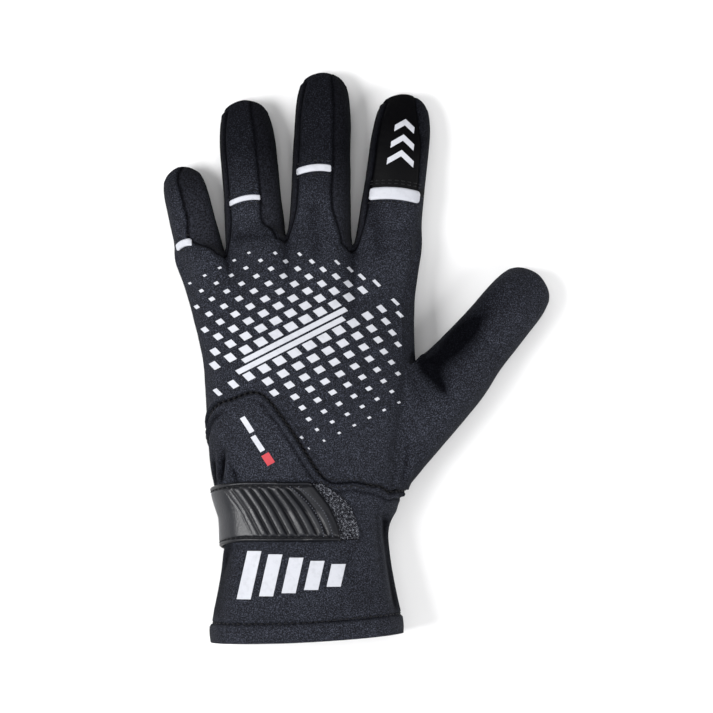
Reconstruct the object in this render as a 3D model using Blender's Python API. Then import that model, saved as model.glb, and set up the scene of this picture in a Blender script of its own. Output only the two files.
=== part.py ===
"""Karting glove for the left hand, lying palm down, in metres.

+X points to the thumb, +Y to the fingertips and +Z up through the back of the hand. The origin is
under the middle of the glove, on the surface that it lies on. One cage of quads, worked out from
the sizes below, is subdivided into the outer skin. The sewn panels are cut from that skin.
"""

import math
from collections import namedtuple

import bpy
import numpy as np
from mathutils import Vector
from mathutils.bvhtree import BVHTree

# Cuff and hand
CUFF_LENGTH = 0.051
CUFF_WIDTH = 0.0895
CUFF_HEIGHT = 0.044
WRIST_WIDTH = 0.077
WRIST_HEIGHT = 0.036
HAND_LENGTH = 0.135
PALM_WIDTH = 0.100
PALM_HEIGHT = 0.036
HEM_DEPTH = 0.009
HEM_FOLD = 0.00945
HEM_RISE = 0.0045
FLOOR_PRESS = 0.0008

# Fingers: the size that each finger's shares refer to, and the thumb
FINGER_LENGTH = 0.0777
FINGER_WIDTH = 0.0268
FINGER_HEIGHT = 0.0195
FINGER_ARCH = 0.0020
THUMB_LENGTH = 0.067
THUMB_WIDTH = 0.0292
THUMB_HEIGHT = 0.0225
THUMB_LEAN = -40.0

# Walls and gaps
BACK_WALL = 0.0020
PALM_WALL = 0.0016
GUSSET_WALL = 0.0018
HEM_WALL = 0.0032
SEAM_GAP = 0.0004
MITRE_LIMIT = 0.16
SURFACE_GAP = 0.00045

# Wrist strap, its loop pad and the reflective bars: the strap runs round the wrist from an angle in
# degrees, and its slants are sideways steps for each step across it
STRAP_WIDTH = 0.0282
STRAP_WALL = 0.0014
STRAP_LENGTH = 0.076
STRAP_START = 197.0
STRAP_LIMIT = 20.0
STRAP_READINGS = 97
WRIST_AXIS = 0.45
STRAP_DROP = 0.0035
STRAP_SLANT = 0.62
STRAP_END_SLANT = 0.46
STRAP_TAIL = 0.003
STRAP_SLACK = 0.0004
STRAP_SLACK_AT = 0.010
STRAP_SLACK_SPREAD = 0.012
STRAP_DROOP = 0.0052
STRAP_DROOP_REACH = 0.034
STRAP_DROOP_CURVE = 1.5
RIB_COUNT = 8
RIB_PITCH = 0.0041
RIB_HEIGHT = 0.0005
PAD_WALL = 0.0009
PAD_TUCK = 0.010
PAD_REACH = 0.009
PAD_CORNER = 0.018
PAD_CORNER_FROM = 0.35
PAD_CORNER_CURVE = 1.6
PAD_MARGIN = 0.03
PAD_RAMP = 0.004
PAD_RAMP_START = 0.006
BAR_WALL = 0.0007

# Gathers at the wrist, on the palm side: where the elastic is as a share of the hand's length, how
# far the folds reach above it and how they fan out below it, as shares
GATHER_DEPTH = 0.0026
GATHER_LENGTH = 0.036
GATHER_AT = 0.075
GATHER_ABOVE = 0.22
GATHER_FAN = 0.22
GATHER_FOLDS = 7.5
GATHER_WIDTH = 0.95
GATHER_FADE = 1.3
GATHER_EDGE = 4

# Cuff sections: share of the cuff's length, and how far it has narrowed to the wrist
CuffSection = namedtuple("CuffSection", "along narrowed middle")
CUFF_SECTIONS = (
    CuffSection(0.00, 0.00, -0.004),
    CuffSection(0.18, 0.00, -0.004),
    CuffSection(0.59, 0.62, -0.003),
    CuffSection(1.00, 1.00, -0.006),
)

# Hand sections: shares of the hand's length, the palm's width and the palm's height
HandSection = namedtuple("HandSection", "along ulnar radial height")
HAND_SECTIONS = (
    HandSection(0.067, -0.405, 0.412, 0.97),
    HandSection(0.156, -0.440, 0.465, 0.97),
    HandSection(0.244, -0.452, 0.482, 0.98),
    HandSection(0.378, -0.474, 0.496, 1.02),
    HandSection(0.563, -0.486, 0.513, 1.02),
    HandSection(0.652, -0.508, 0.508, 0.97),
    HandSection(0.719, -0.520, 0.502, 0.92),
    HandSection(0.778, -0.541, 0.502, 0.87),
    HandSection(0.844, -0.576, 0.510, 0.81),
    HandSection(0.904, -0.612, 0.518, 0.76),
    HandSection(0.985, -0.632, 0.534, 0.70),
)

# Rings of the cage: place along the palm side, as shares of cuff and hand, and share of the slant
# that the wrist seam has across the back
Ring = namedtuple("Ring", "cuff hand slant")
RINGS = (
    Ring(0.00, 0.000, 0.00),
    Ring(0.18, 0.000, 0.00),
    Ring(0.59, 0.000, 0.02),
    Ring(1.00, 0.008, 0.12),
    Ring(1.00, 0.082, 0.44),
    Ring(1.00, 0.156, 1.00),
    Ring(1.00, 0.304, 0.77),
    Ring(1.00, 0.452, 0.54),
    Ring(1.00, 0.600, 0.31),
    Ring(1.00, 0.807, 0.10),
)
SEAM_RING = 5
THUMB_TOP_RING = 8

# Slant of the wrist seam: place across the back, from -1 at the little finger's side to 1 at the
# thumb's, and how far above the palm side's ring it runs, as a share of the hand's length
SeamPoint = namedtuple("SeamPoint", "across lift")
SEAM_SLANT = (
    SeamPoint(-1.00, 0.270),
    SeamPoint(-0.72, 0.315),
    SeamPoint(-0.50, 0.335),
    SeamPoint(-0.15, 0.190),
    SeamPoint(0.10, 0.050),
    SeamPoint(0.50, 0.022),
    SeamPoint(1.00, -0.012),
)

# Shares of the seam's lift that the sides of the wrist follow, and the palm side's corners, which
# start at a share of the half width
SIDE_LIFT = 0.75
CORNER_LIFT = 0.45
CORNER_FROM = 0.6

# Base line of the fingers, from the little finger's outer side to the index finger's: shares of
# the palm's width and the hand's length. The three in the middle are the forks between fingers.
Knuckle = namedtuple("Knuckle", "across along")
KNUCKLES = (
    Knuckle(-0.622, 0.940),
    Knuckle(-0.386, 0.981),
    Knuckle(-0.098, 1.038),
    Knuckle(0.212, 1.002),
    Knuckle(0.536, 0.978),
)
FORK_BACK_DROP = 0.0020
FORK_PALM_DROP = 0.0045
FORK_PALM_RISE = 0.0030
FORK_DIP = 0.24
FORK_SIDE_DIP = 0.05
SIDE_INSET = 0.03
KNUCKLE_ARCH = 0.16

# Fingers: length, width and height are shares of the sizes above, lean is in degrees towards
# the little finger, seam is where the side gusset starts across the back (-1 to 1), rings are
# shares of the finger's length, and bar is the ring that its reflective bar covers
Finger = namedtuple("Finger", "name length width height lean seam rings bar")
FINGERS = (
    Finger("little", 0.565, 0.780, 0.86, 13.2, -0.18, (0.19, 0.40, 0.60, 0.76, 0.91), 0),
    Finger("ring", 0.872, 0.990, 0.95, 5.0, 0.30, (0.14, 0.32, 0.54, 0.76, 0.93), 1),
    Finger("middle", 1.020, 1.000, 1.00, -1.4, 0.40, (0.20, 0.43, 0.61, 0.79, 0.94), 1),
    Finger("index", 0.945, 1.050, 1.02, -7.0, 0.34, (0.17, 0.36, 0.57, 0.77, 0.93), 1),
)
BACK_SHARES = (0.40, 0.84)
PALM_SHARES = (0.34, 0.67)
RING_WIDTHS = (1.06, 1.02, 1.00, 0.96, 0.75)
RING_HEIGHTS = (1.10, 1.04, 1.00, 0.95, 0.58)
TIP_SPREAD = 0.12
TIP_RISE = 0.0026
TIP_WAIST = 0.50
PALM_REACH = 0.30

# Thumb: middle of its first ring as shares of the palm's width and the hand's length
THUMB_ACROSS = 0.654
THUMB_ALONG = 0.520
THUMB_RINGS = (0.08, 0.30, 0.54, 0.77, 0.93)
THUMB_WIDTHS = (1.18, 1.05, 1.00, 0.96, 0.76)
THUMB_HEIGHTS = (1.22, 1.08, 1.00, 0.94, 0.60)
THUMB_SEAM = 0.27
THUMB_ROOT = 0.55

# Reflective bars: start and end across the finger (-1 to 1), width as a share of the finger's, and
# tilt in degrees
Bar = namedtuple("Bar", "start end width tilt")
BARS = (
    Bar(-0.92, -0.22, 0.165, 8.0),
    Bar(-0.82, 0.28, 0.095, 7.0),
    Bar(-0.86, 0.34, 0.125, 7.0),
    Bar(-0.80, 0.86, 0.205, 3.0),
)

# Dents in the back: ends as shares of the palm's width and the hand's length, and depth and
# half width in metres
Dent = namedtuple("Dent", "x0 y0 x1 y1 depth spread")
DENTS = (
    Dent(0.224, 0.985, 0.205, 0.760, 0.0018, 0.0055),
    Dent(-0.084, 1.010, -0.090, 0.860, 0.0008, 0.0050),
    Dent(-0.371, 0.960, -0.340, 0.840, 0.0008, 0.0050),
    Dent(0.515, 0.600, 0.630, 0.460, 0.0030, 0.0075),
)

DENT_FADE = 0.7
BACK_FACING = 0.2
PALM_FACING = -0.3

# Columns across the back, and where the last ones stand, as shares of the half width; shape of the
# sections
BACK_COLUMNS = 12
COLUMN_REACH = 0.90
FINGER_REACH = 0.80
FINGER_SIDES = 10
FORK_COLUMNS = (3, 6, 9)
WAIST = 0.42
BACK_ROUNDING = 2.3
PALM_ROUNDING = 3.4
CUFF_FABRIC_COLUMNS = 3

# Subdivision of the skin, rows and columns of the strap's, pad's and bars' meshes, the angle in
# degrees from which an edge is sharp, and how far off the skin its readings start
SKIN_LEVEL = 1
STRAP_ROWS = 5
STRAP_PLAIN_COLUMNS = 12
PAD_ROWS = 5
PAD_COLUMNS = 7
BAR_COLUMNS = 9
SHARP_ANGLE = 50
READING_START = 0.2

Material = namedtuple("Material", "colour roughness")
MATERIALS = {
    "back_fabric": Material((0.020, 0.020, 0.026), 0.85),
    "palm_suede": Material((0.007, 0.007, 0.010), 0.95),
    "tip_patch": Material((0.008, 0.008, 0.010), 0.60),
    "strap_leather": Material((0.030, 0.030, 0.033), 0.42),
    "loop_pile": Material((0.012, 0.012, 0.015), 1.00),
    "reflective_film": Material((0.720, 0.730, 0.760), 0.40),
}

PANELS = (
    "back_panel",
    "cuff_panel",
    "palm_panel",
    "gusset_little_ring",
    "gusset_ring_middle",
    "gusset_middle_index",
    "tip_back_little",
    "tip_back_ring",
    "tip_back_middle",
    "tip_patch_index",
)
BACK = PANELS.index("back_panel")
CUFF = PANELS.index("cuff_panel")
PALM = PANELS.index("palm_panel")
FIRST_GUSSET = PANELS.index("gusset_little_ring")
FIRST_TIP = PANELS.index("tip_back_little")

# Sides of a finger, counted round its ring from the back's little side
PALM_SIDES = (5, 6, 7)
LITTLE_SIDES = (8, 9)
FIRST_THUMB_SIDE = 2


def curve(xs, ys, x):
    """Smooth curve through the points (xs, ys), read at x."""
    xs = np.asarray(xs, float)
    ys = np.asarray(ys, float)
    slopes = np.gradient(ys, xs)
    i = int(np.clip(np.searchsorted(xs, x) - 1, 0, len(xs) - 2))
    step = xs[i + 1] - xs[i]
    t = float(np.clip((x - xs[i]) / step, 0.0, 1.0))
    return (
        (2 * t**3 - 3 * t**2 + 1) * ys[i]
        + (t**3 - 2 * t**2 + t) * step * slopes[i]
        + (3 * t**2 - 2 * t**3) * ys[i + 1]
        + (t**3 - t**2) * step * slopes[i + 1]
    )


def oval(u, low, high, upper):
    """Height of an oval section at the share u of its half width, on its upper or lower side."""
    waist = low + WAIST * (high - low)
    if upper:
        return waist + (high - waist) * (1 - abs(u) ** BACK_ROUNDING) ** (1 / BACK_ROUNDING)
    return waist - (waist - low) * (1 - abs(u) ** PALM_ROUNDING) ** (1 / PALM_ROUNDING)


def hand_sections():
    """Rows of y, ulnar edge, radial edge and height, in metres, from the hem to the fingers."""
    rows = []
    for s in CUFF_SECTIONS:
        width = CUFF_WIDTH + (WRIST_WIDTH - CUFF_WIDTH) * s.narrowed
        height = CUFF_HEIGHT + (WRIST_HEIGHT - CUFF_HEIGHT) * s.narrowed
        middle = s.middle * CUFF_WIDTH
        rows.append((s.along * CUFF_LENGTH, middle - width / 2, middle + width / 2, height))
    for s in HAND_SECTIONS:
        y = CUFF_LENGTH + s.along * HAND_LENGTH
        rows.append((y, s.ulnar * PALM_WIDTH, s.radial * PALM_WIDTH, s.height * PALM_HEIGHT))
    return np.array(rows)


SECTION_ROWS = hand_sections()


def section_at(y):
    """Ulnar edge, radial edge and height of the cuff or hand at y."""
    ys = SECTION_ROWS[:, 0]
    return [float(curve(ys, SECTION_ROWS[:, k], y)) for k in (1, 2, 3)]


def trunk_point(y, u, upper):
    """Point of the cuff or hand at y, at the share u of its half width."""
    ulnar, radial, height = section_at(y)
    x = (ulnar + radial) / 2 + u * (radial - ulnar) / 2
    return np.array([x, y, oval(u, -FLOOR_PRESS, height, upper)])


def knuckle_point(i):
    """Place of knuckle i on the fingers' base line, as (x, y)."""
    k = KNUCKLES[i]
    return np.array([k.across * PALM_WIDTH, CUFF_LENGTH + k.along * HAND_LENGTH])


def base_line(shares):
    """Places (x, y) of the thirteen columns on the fingers' base line."""
    places = []
    for f in range(len(FINGERS)):
        a, b = knuckle_point(f), knuckle_point(f + 1)
        places += [a + (b - a) * s for s in (0.0, *shares)]
    return np.array([*places, knuckle_point(len(FINGERS))])


def base_shares(places):
    """Shares of the hand's half width at which the base line's columns stand."""
    ulnar, radial, _ = section_at(places[:, 1].mean())
    shares = (places[:, 0] - (ulnar + radial) / 2) / ((radial - ulnar) / 2)
    return np.clip(shares, -COLUMN_REACH, COLUMN_REACH)


def trunk_rings():
    """Rings of the cuff and hand: upper columns, thumb side, lower columns and little side."""
    back_line, palm_line = base_line(BACK_SHARES), base_line(PALM_SHARES)
    back_end, palm_end = base_shares(back_line), base_shares(palm_line)
    even = np.linspace(-COLUMN_REACH, COLUMN_REACH, BACK_COLUMNS + 1)
    last = len(RINGS)
    slant_u = [p.across for p in SEAM_SLANT]
    slant_lift = [p.lift for p in SEAM_SLANT]
    rings = []
    for r, ring in enumerate(RINGS):
        y = ring.cuff * CUFF_LENGTH + ring.hand * HAND_LENGTH
        share = max(0.0, (r - SEAM_RING) / (last - SEAM_RING))
        us = even + (back_end - even) * share
        lift = [ring.slant * HAND_LENGTH * curve(slant_u, slant_lift, u) for u in (-1, *us, 1)]
        rise = [HEM_RISE * (1 - ring.cuff) * ((u + 1) / 2) ** 2 for u in (-1, *us, 1)]
        upper = [trunk_point(y + lift[j + 1] + rise[j + 1], u, True) for j, u in enumerate(us)]
        thumb_side = trunk_point(y + lift[-1] * SIDE_LIFT + rise[-1], 1.0, True)
        little_side = trunk_point(y + lift[0] * SIDE_LIFT, -1.0, True)
        us = even + (palm_end - even) * share
        follow = [CORNER_LIFT * max(0.0, abs(u) - CORNER_FROM) / (1 - CORNER_FROM) for u in us]
        rise = [rise[j + 1] + follow[j] * lift[j + 1] for j in range(len(us))]
        lower = [trunk_point(y + rise[j], u, False) for j, u in enumerate(us)]
        rings.append([*upper, thumb_side, *lower[::-1], little_side])
    rings.append(base_ring(back_line, palm_line))
    return rings


def base_ring(back_line, palm_line):
    """Last ring of the hand, which the fingers start from."""
    upper, lower, sides = [], [], []
    for j, (x, y) in enumerate(back_line):
        inset = {0: SIDE_INSET, BACK_COLUMNS: -SIDE_INSET}.get(j, 0.0)
        height = section_at(y)[2] * (1 - KNUCKLE_ARCH * (2 * j / BACK_COLUMNS - 1) ** 2)
        dip = (FORK_DIP, 0.0, FORK_SIDE_DIP)[j % 3] if 0 < j < BACK_COLUMNS else 0.0
        z = oval(COLUMN_REACH if inset else PALM_REACH, -FLOOR_PRESS, height, True) * (1 - dip)
        drop = FORK_BACK_DROP if dip == FORK_DIP else 0.0
        upper.append(np.array([x + inset * PALM_WIDTH, y - drop, z]))
        if inset:
            sides.append(np.array([x, y, WAIST * section_at(y)[2]]))
    for j, (x, y) in enumerate(palm_line):
        inset = {0: SIDE_INSET, BACK_COLUMNS: -SIDE_INSET}.get(j, 0.0)
        fork = j in FORK_COLUMNS
        low = FORK_PALM_RISE if fork else -FLOOR_PRESS
        drop = FORK_PALM_DROP if fork else FORK_PALM_DROP / 2
        lower.append(np.array([x + inset * PALM_WIDTH, y - drop, low]))
    return [*upper, sides[1], *lower[::-1], sides[0]]


def finger_ring(centre, right, width, height, low, seam):
    """Ten points round a finger: four on the back, one side, four on the palm side, one side."""
    upper_u = (-FINGER_REACH, (seam - FINGER_REACH) / 2, seam, FINGER_REACH)
    lower_u = (FINGER_REACH, PALM_REACH, -PALM_REACH, -FINGER_REACH)
    order = [(u, True) for u in upper_u] + [(1.0, True)] + [(u, False) for u in lower_u] + [(-1.0, True)]
    points = []
    for u, upper in order:
        x, y = centre + right * (u * width / 2)
        points.append(np.array([x, y, oval(u, low, low + height, upper)]))
    return points


def finger_rings(base, lean, length, width, height, stations, widths, heights, seam):
    """Rings along one finger, and the two points at the middle of its tip."""
    turn = math.radians(lean)
    ahead = np.array([-math.sin(turn), math.cos(turn)])
    right = np.array([math.cos(turn), math.sin(turn)])
    rings = []
    for t, w, h in zip(stations, widths, heights):
        low = FINGER_ARCH * math.sin(math.pi * t) - FLOOR_PRESS
        if t == stations[-1]:
            low += TIP_RISE
        rings.append(finger_ring(base + ahead * (t * length), right, w * width, h * height, low, seam))
    tip = base + ahead * length
    tip_z = low + TIP_WAIST * heights[-1] * height
    tips = [np.array([*(tip + right * (u * TIP_SPREAD * width)), tip_z]) for u in (-1, 1)]
    return rings, tips


class Cage:
    """Quads with a panel number each, and the points that their smooth surface passes through."""

    def __init__(self):
        self.points, self.faces, self.panels = [], [], []

    def add(self, points):
        """Adds points and returns their numbers."""
        start = len(self.points)
        self.points += list(points)
        return list(range(start, len(self.points)))

    def quad(self, a, b, c, d, panel):
        self.faces.append((a, b, c, d))
        self.panels.append(panel)

    def tube(self, near, far, panel_of):
        """Faces between two rings; panel_of gives each side's panel."""
        for k in range(len(near)):
            n = (k + 1) % len(near)
            self.quad(near[k], near[n], far[n], far[k], panel_of(k))

    def drop_unused(self):
        """Leaves out the points that no face uses."""
        used = sorted({v for face in self.faces for v in face})
        number = {v: i for i, v in enumerate(used)}
        self.points = [self.points[v] for v in used]
        self.faces = [tuple(number[v] for v in face) for face in self.faces]

    def cap(self, ring, tips, panel_of):
        """Closes a finger's last ring with three quads above and three below."""
        upper = ring[0:4]
        middle = [ring[9], *tips, ring[4]]
        lower = [ring[8], ring[7], ring[6], ring[5]]
        for k in range(3):
            self.quad(upper[k], upper[k + 1], middle[k + 1], middle[k], panel_of(k))
            self.quad(middle[k], middle[k + 1], lower[k + 1], lower[k], PALM)


def finger_panel(f, row, side):
    """Panel of a face of finger f, in a row of the cage and on one of its ten sides."""
    bar_row = FINGERS[f].bar + 1
    beyond = row >= bar_row
    if side in PALM_SIDES:
        return PALM
    if side in LITTLE_SIDES:
        if f:
            return FIRST_GUSSET + f - 1
        return FIRST_TIP if beyond else BACK
    if side >= FIRST_THUMB_SIDE and FINGERS[f].name != "index":
        return FIRST_GUSSET + f
    return FIRST_TIP + f if beyond else BACK


def thumb_panel(side):
    return PALM if side in PALM_SIDES else BACK


def trunk_panel(row, column):
    """Panel of a face of the cuff or hand."""
    first_lower = BACK_COLUMNS + 2
    lower = first_lower <= column < first_lower + BACK_COLUMNS
    if row < SEAM_RING:
        return PALM if lower and column >= first_lower + CUFF_FABRIC_COLUMNS else CUFF
    return PALM if lower else BACK


def build_cage():
    """The whole glove's cage: cuff and hand, four fingers and the thumb."""
    cage = Cage()
    trunk = [cage.add(ring) for ring in trunk_rings()]
    around = len(trunk[0])
    thumb_side = BACK_COLUMNS + 1
    for r in range(len(trunk) - 1):
        for c in range(around):
            in_thumb = SEAM_RING <= r < THUMB_TOP_RING and c in (thumb_side - 1, thumb_side)
            if not in_thumb:
                n = (c + 1) % around
                cage.quad(trunk[r][c], trunk[r][n], trunk[r + 1][n], trunk[r + 1][c], trunk_panel(r, c))
    top = trunk[-1]
    forks = []
    for j in FORK_COLUMNS:
        upper = cage.points[top[j]]
        lower = cage.points[top[around - 2 - j]]
        middle = (upper + lower) / 2
        middle[1] = upper[1] + FORK_BACK_DROP
        forks += cage.add([middle])
    sides = [top[around - 1], *forks, top[thumb_side]]
    for f, finger in enumerate(FINGERS):
        a, b = knuckle_point(f), knuckle_point(f + 1)
        rings, tips = finger_rings(
            (a + b) / 2, finger.lean, finger.length * FINGER_LENGTH, finger.width * FINGER_WIDTH,
            finger.height * FINGER_HEIGHT, finger.rings, RING_WIDTHS, RING_HEIGHTS, finger.seam,
        )
        upper = [top[3 * f + k] for k in range(4)]
        lower = [top[around - 2 - 3 * f - k] for k in range(3, -1, -1)]
        near = [*upper, sides[f + 1], *lower, sides[f]]
        for row, ring in enumerate(rings):
            far = cage.add(ring)
            cage.tube(near, far, lambda k, row=row: finger_panel(f, row, k))
            near = far
        cage.cap(near, cage.add(tips), lambda k: finger_panel(f, len(rings), k))
    add_thumb(cage, trunk, thumb_side)
    cage.drop_unused()
    return cage


def add_thumb(cage, trunk, thumb_side):
    """Joins the thumb to the opening that the hand's thumb side leaves for it."""
    rows = range(THUMB_TOP_RING, SEAM_RING - 1, -1)
    upper = [trunk[r][thumb_side - 1] for r in rows]
    lower = [trunk[r][thumb_side + 1] for r in reversed(rows)]
    near = [*upper, trunk[SEAM_RING][thumb_side], *lower, trunk[THUMB_TOP_RING][thumb_side]]
    base = np.array([THUMB_ACROSS * PALM_WIDTH, CUFF_LENGTH + THUMB_ALONG * HAND_LENGTH])
    rings, tips = finger_rings(
        base, THUMB_LEAN, THUMB_LENGTH, THUMB_WIDTH, THUMB_HEIGHT, THUMB_RINGS, THUMB_WIDTHS,
        THUMB_HEIGHTS, THUMB_SEAM,
    )
    root = [
        cage.points[near[k]] * (1 - THUMB_ROOT) + rings[0][k] * THUMB_ROOT
        for k in range(FINGER_SIDES)
    ]
    for ring in (root, *rings):
        far = cage.add(ring)
        cage.tube(near, far, thumb_panel)
        near = far
    cage.cap(near, cage.add(tips), lambda k: BACK)


def fit_cage(points, faces, passes=14):
    """Moves a cage's points until its Catmull-Clark limit surface passes through the given ones."""
    target = np.array(points)
    near = [set() for _ in target]
    across = [[] for _ in target]
    uses = {}
    for face in faces:
        for k, v in enumerate(face):
            before, after, opposite = face[k - 1], face[(k + 1) % 4], face[(k + 2) % 4]
            near[v] |= {before, after}
            across[v].append(opposite)
            uses[frozenset((v, after))] = uses.get(frozenset((v, after)), 0) + 1
    rim = {}
    for edge, count in uses.items():
        if count == 1:
            a, b = tuple(edge)
            rim.setdefault(a, []).append(b)
            rim.setdefault(b, []).append(a)
    cage = target.copy()
    for _ in range(passes):
        limit = np.empty_like(cage)
        for v in range(len(cage)):
            if v in rim:
                limit[v] = (4 * cage[v] + cage[rim[v]].sum(0)) / 6
            else:
                n = len(near[v])
                edges = cage[list(near[v])].sum(0)
                diagonals = cage[across[v]].sum(0)
                limit[v] = (n * n * cage[v] + 4 * edges + diagonals) / (n * (n + 5))
        cage += target - limit
    return cage


def new_object(name, vertices, faces, material=None):
    """Object with a mesh of its own, linked to the scene."""
    mesh = bpy.data.meshes.new(name)
    mesh.from_pydata([tuple(v) for v in vertices], [], [tuple(f) for f in faces])
    mesh.update()
    made = bpy.data.objects.new(name, mesh)
    bpy.context.scene.collection.objects.link(made)
    if material is not None:
        mesh.materials.append(material)
    return made


def subdivide(cage_points, faces, panels, levels):
    """Points, quads and panel numbers of the cage's smooth surface."""
    cage = new_object("skin_cage", cage_points, faces)
    for polygon, panel in zip(cage.data.polygons, panels):
        polygon.material_index = panel
    for name in PANELS:
        cage.data.materials.append(bpy.data.materials.new("cage_" + name))
    smooth = cage.modifiers.new("smooth", "SUBSURF")
    smooth.levels = levels
    smooth.render_levels = levels
    bpy.context.view_layer.update()
    done = cage.evaluated_get(bpy.context.evaluated_depsgraph_get()).to_mesh()
    points = np.array([v.co for v in done.vertices], float)
    quads = np.array([tuple(p.vertices) for p in done.polygons])
    numbers = np.array([p.material_index for p in done.polygons])
    for material in list(cage.data.materials):
        bpy.data.materials.remove(material)
    bpy.data.objects.remove(cage)
    return points, quads, numbers


def vertex_normals(points, quads):
    """Unit normals of a quad mesh, weighted by face area."""
    a, b, c, d = (points[quads[:, k]] for k in range(4))
    face = np.cross(c - a, d - b)
    normals = np.zeros_like(points)
    for k in range(4):
        np.add.at(normals, quads[:, k], face)
    return normals / np.maximum(np.linalg.norm(normals, axis=1), 1e-12)[:, None]


def smoothed(normals, quads, passes=3):
    """Normals evened out over their neighbours, so that a wall set off along them stays whole."""
    edges = np.concatenate([quads[:, [k, (k + 1) % 4]] for k in range(4)])
    for _ in range(passes):
        total = normals * 2
        np.add.at(total, edges[:, 0], normals[edges[:, 1]] / 2)
        np.add.at(total, edges[:, 1], normals[edges[:, 0]] / 2)
        normals = total / np.maximum(np.linalg.norm(total, axis=1), 1e-12)[:, None]
    return normals


def dent_depth(point):
    """How far the dents in the back sink the skin at a point."""
    depth = 0.0
    for d in DENTS:
        a = np.array([d.x0 * PALM_WIDTH, CUFF_LENGTH + d.y0 * HAND_LENGTH])
        b = np.array([d.x1 * PALM_WIDTH, CUFF_LENGTH + d.y1 * HAND_LENGTH])
        t = float(np.clip(np.dot(point[:2] - a, b - a) / np.dot(b - a, b - a), 0.0, 1.0))
        off = np.linalg.norm(point[:2] - (a + (b - a) * t))
        depth += d.depth * math.exp(-((off / d.spread) ** 2)) * (1 - DENT_FADE * t * t)
    return depth


def gather_depth(point):
    """How far the elastic's gathers lift the palm side between its folds."""
    start = CUFF_LENGTH + GATHER_AT * HAND_LENGTH
    below = (start - point[1]) / GATHER_LENGTH
    fade = math.exp(-((below / GATHER_ABOVE) ** 2)) if below < 0 else max(0.0, 1 - below) ** GATHER_FADE
    across = point[0] / WRIST_WIDTH * (1 - GATHER_FAN * max(0.0, min(1.0, below)))
    folds = 0.5 - 0.5 * math.cos(2 * math.pi * GATHER_FOLDS * across)
    return GATHER_DEPTH * fade * folds * max(0.0, 1 - (2 * abs(across) / GATHER_WIDTH) ** GATHER_EDGE)


def build_skin(levels):
    """Outer skin of the glove: points, quads, panel numbers and normals, flat where it rests."""
    cage = build_cage()
    fitted = fit_cage(cage.points, cage.faces)
    points, quads, numbers = subdivide(fitted, cage.faces, cage.panels, levels)
    normals = vertex_normals(points, quads)
    for i, point in enumerate(points):
        if normals[i][2] > BACK_FACING:
            points[i] = point - normals[i] * dent_depth(point) * normals[i][2]
        elif normals[i][2] < PALM_FACING:
            points[i][2] += gather_depth(point)
    points[:, 2] = np.maximum(points[:, 2], 0.0)
    middle = (points.min(0) + points.max(0)) / 2
    points[:, :2] -= middle[:2]
    return points, quads, numbers, smoothed(vertex_normals(points, quads), quads), middle[:2]


def quad_edges(quads):
    """Directed edges of the quads, in a dictionary to keep their order."""
    return {(q[k - 1], q[k]): True for q in quads for k in range(4)}


def shell(name, outer, inner, quads, material):
    """Closed solid between two copies of the same quads."""
    count = len(outer)
    edges = quad_edges(quads)
    faces = [tuple(q) for q in quads]
    faces += [tuple(count + v for v in reversed(q)) for q in quads]
    for a, b in edges:
        if (b, a) not in edges:
            faces.append((b, a, count + a, count + b))
    made = new_object(name, [*outer, *inner], faces, material)
    made.data.shade_smooth()
    made.data.set_sharp_from_angle(angle=math.radians(SHARP_ANGLE))
    return made


def seam_pull(quads, points, normals, seams):
    """Small moves of the points on a panel's seams, into the panel, that leave the seam's gap."""
    own = quad_edges(quads)
    sides = {}
    for a, b in own:
        if (b, a) in seams and (b, a) not in own:
            across = np.cross(normals[a] + normals[b], points[b] - points[a])
            across /= max(np.linalg.norm(across), 1e-12)
            sides.setdefault(a, []).append(across)
            sides.setdefault(b, []).append(across)
    pull = {}
    for v, found in sides.items():
        total = np.sum(found, 0)
        spread = max(np.dot(total, total) / len(found) ** 2, MITRE_LIMIT)
        pull[v] = total / len(found) / spread * (SEAM_GAP / 2)
    return pull


def build_panel(number, wall, material, skin):
    """One sewn panel: its part of the skin, thickened inwards and drawn back from its seams."""
    points, quads, numbers, normals, middle = skin
    own = quads[numbers == number]
    used = sorted(set(own.ravel()))
    pull = seam_pull(own, points, normals, quad_edges(quads[numbers != number]))
    outer, inner = [], []
    hem_top = points[:, 1].min() + HEM_FOLD
    for v in used:
        place = points[v] + pull.get(v, np.zeros(3))
        place[2] = max(place[2], 0.0)
        thick = HEM_WALL if points[v][1] < hem_top else wall
        outer.append(place)
        inner.append(place - normals[v] * thick)
    new_number = {v: i for i, v in enumerate(used)}
    local = [tuple(new_number[v] for v in q) for q in own]
    return shell(PANELS[number], outer, inner, local, material)


def surface_grid(name, rows, wall, material):
    """Closed strip from a grid of (point, normal) pairs that lie on its underside."""
    columns = len(rows[0])
    under = [p for row in rows for p, _, _ in row]
    over = [p + n * (wall + extra) for row in rows for p, n, extra in row]
    quads = []
    for r in range(len(rows) - 1):
        for c in range(columns - 1):
            a = r * columns + c
            quads.append((a, a + 1, a + columns + 1, a + columns))
    return shell(name, over, under, quads, material)


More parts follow.
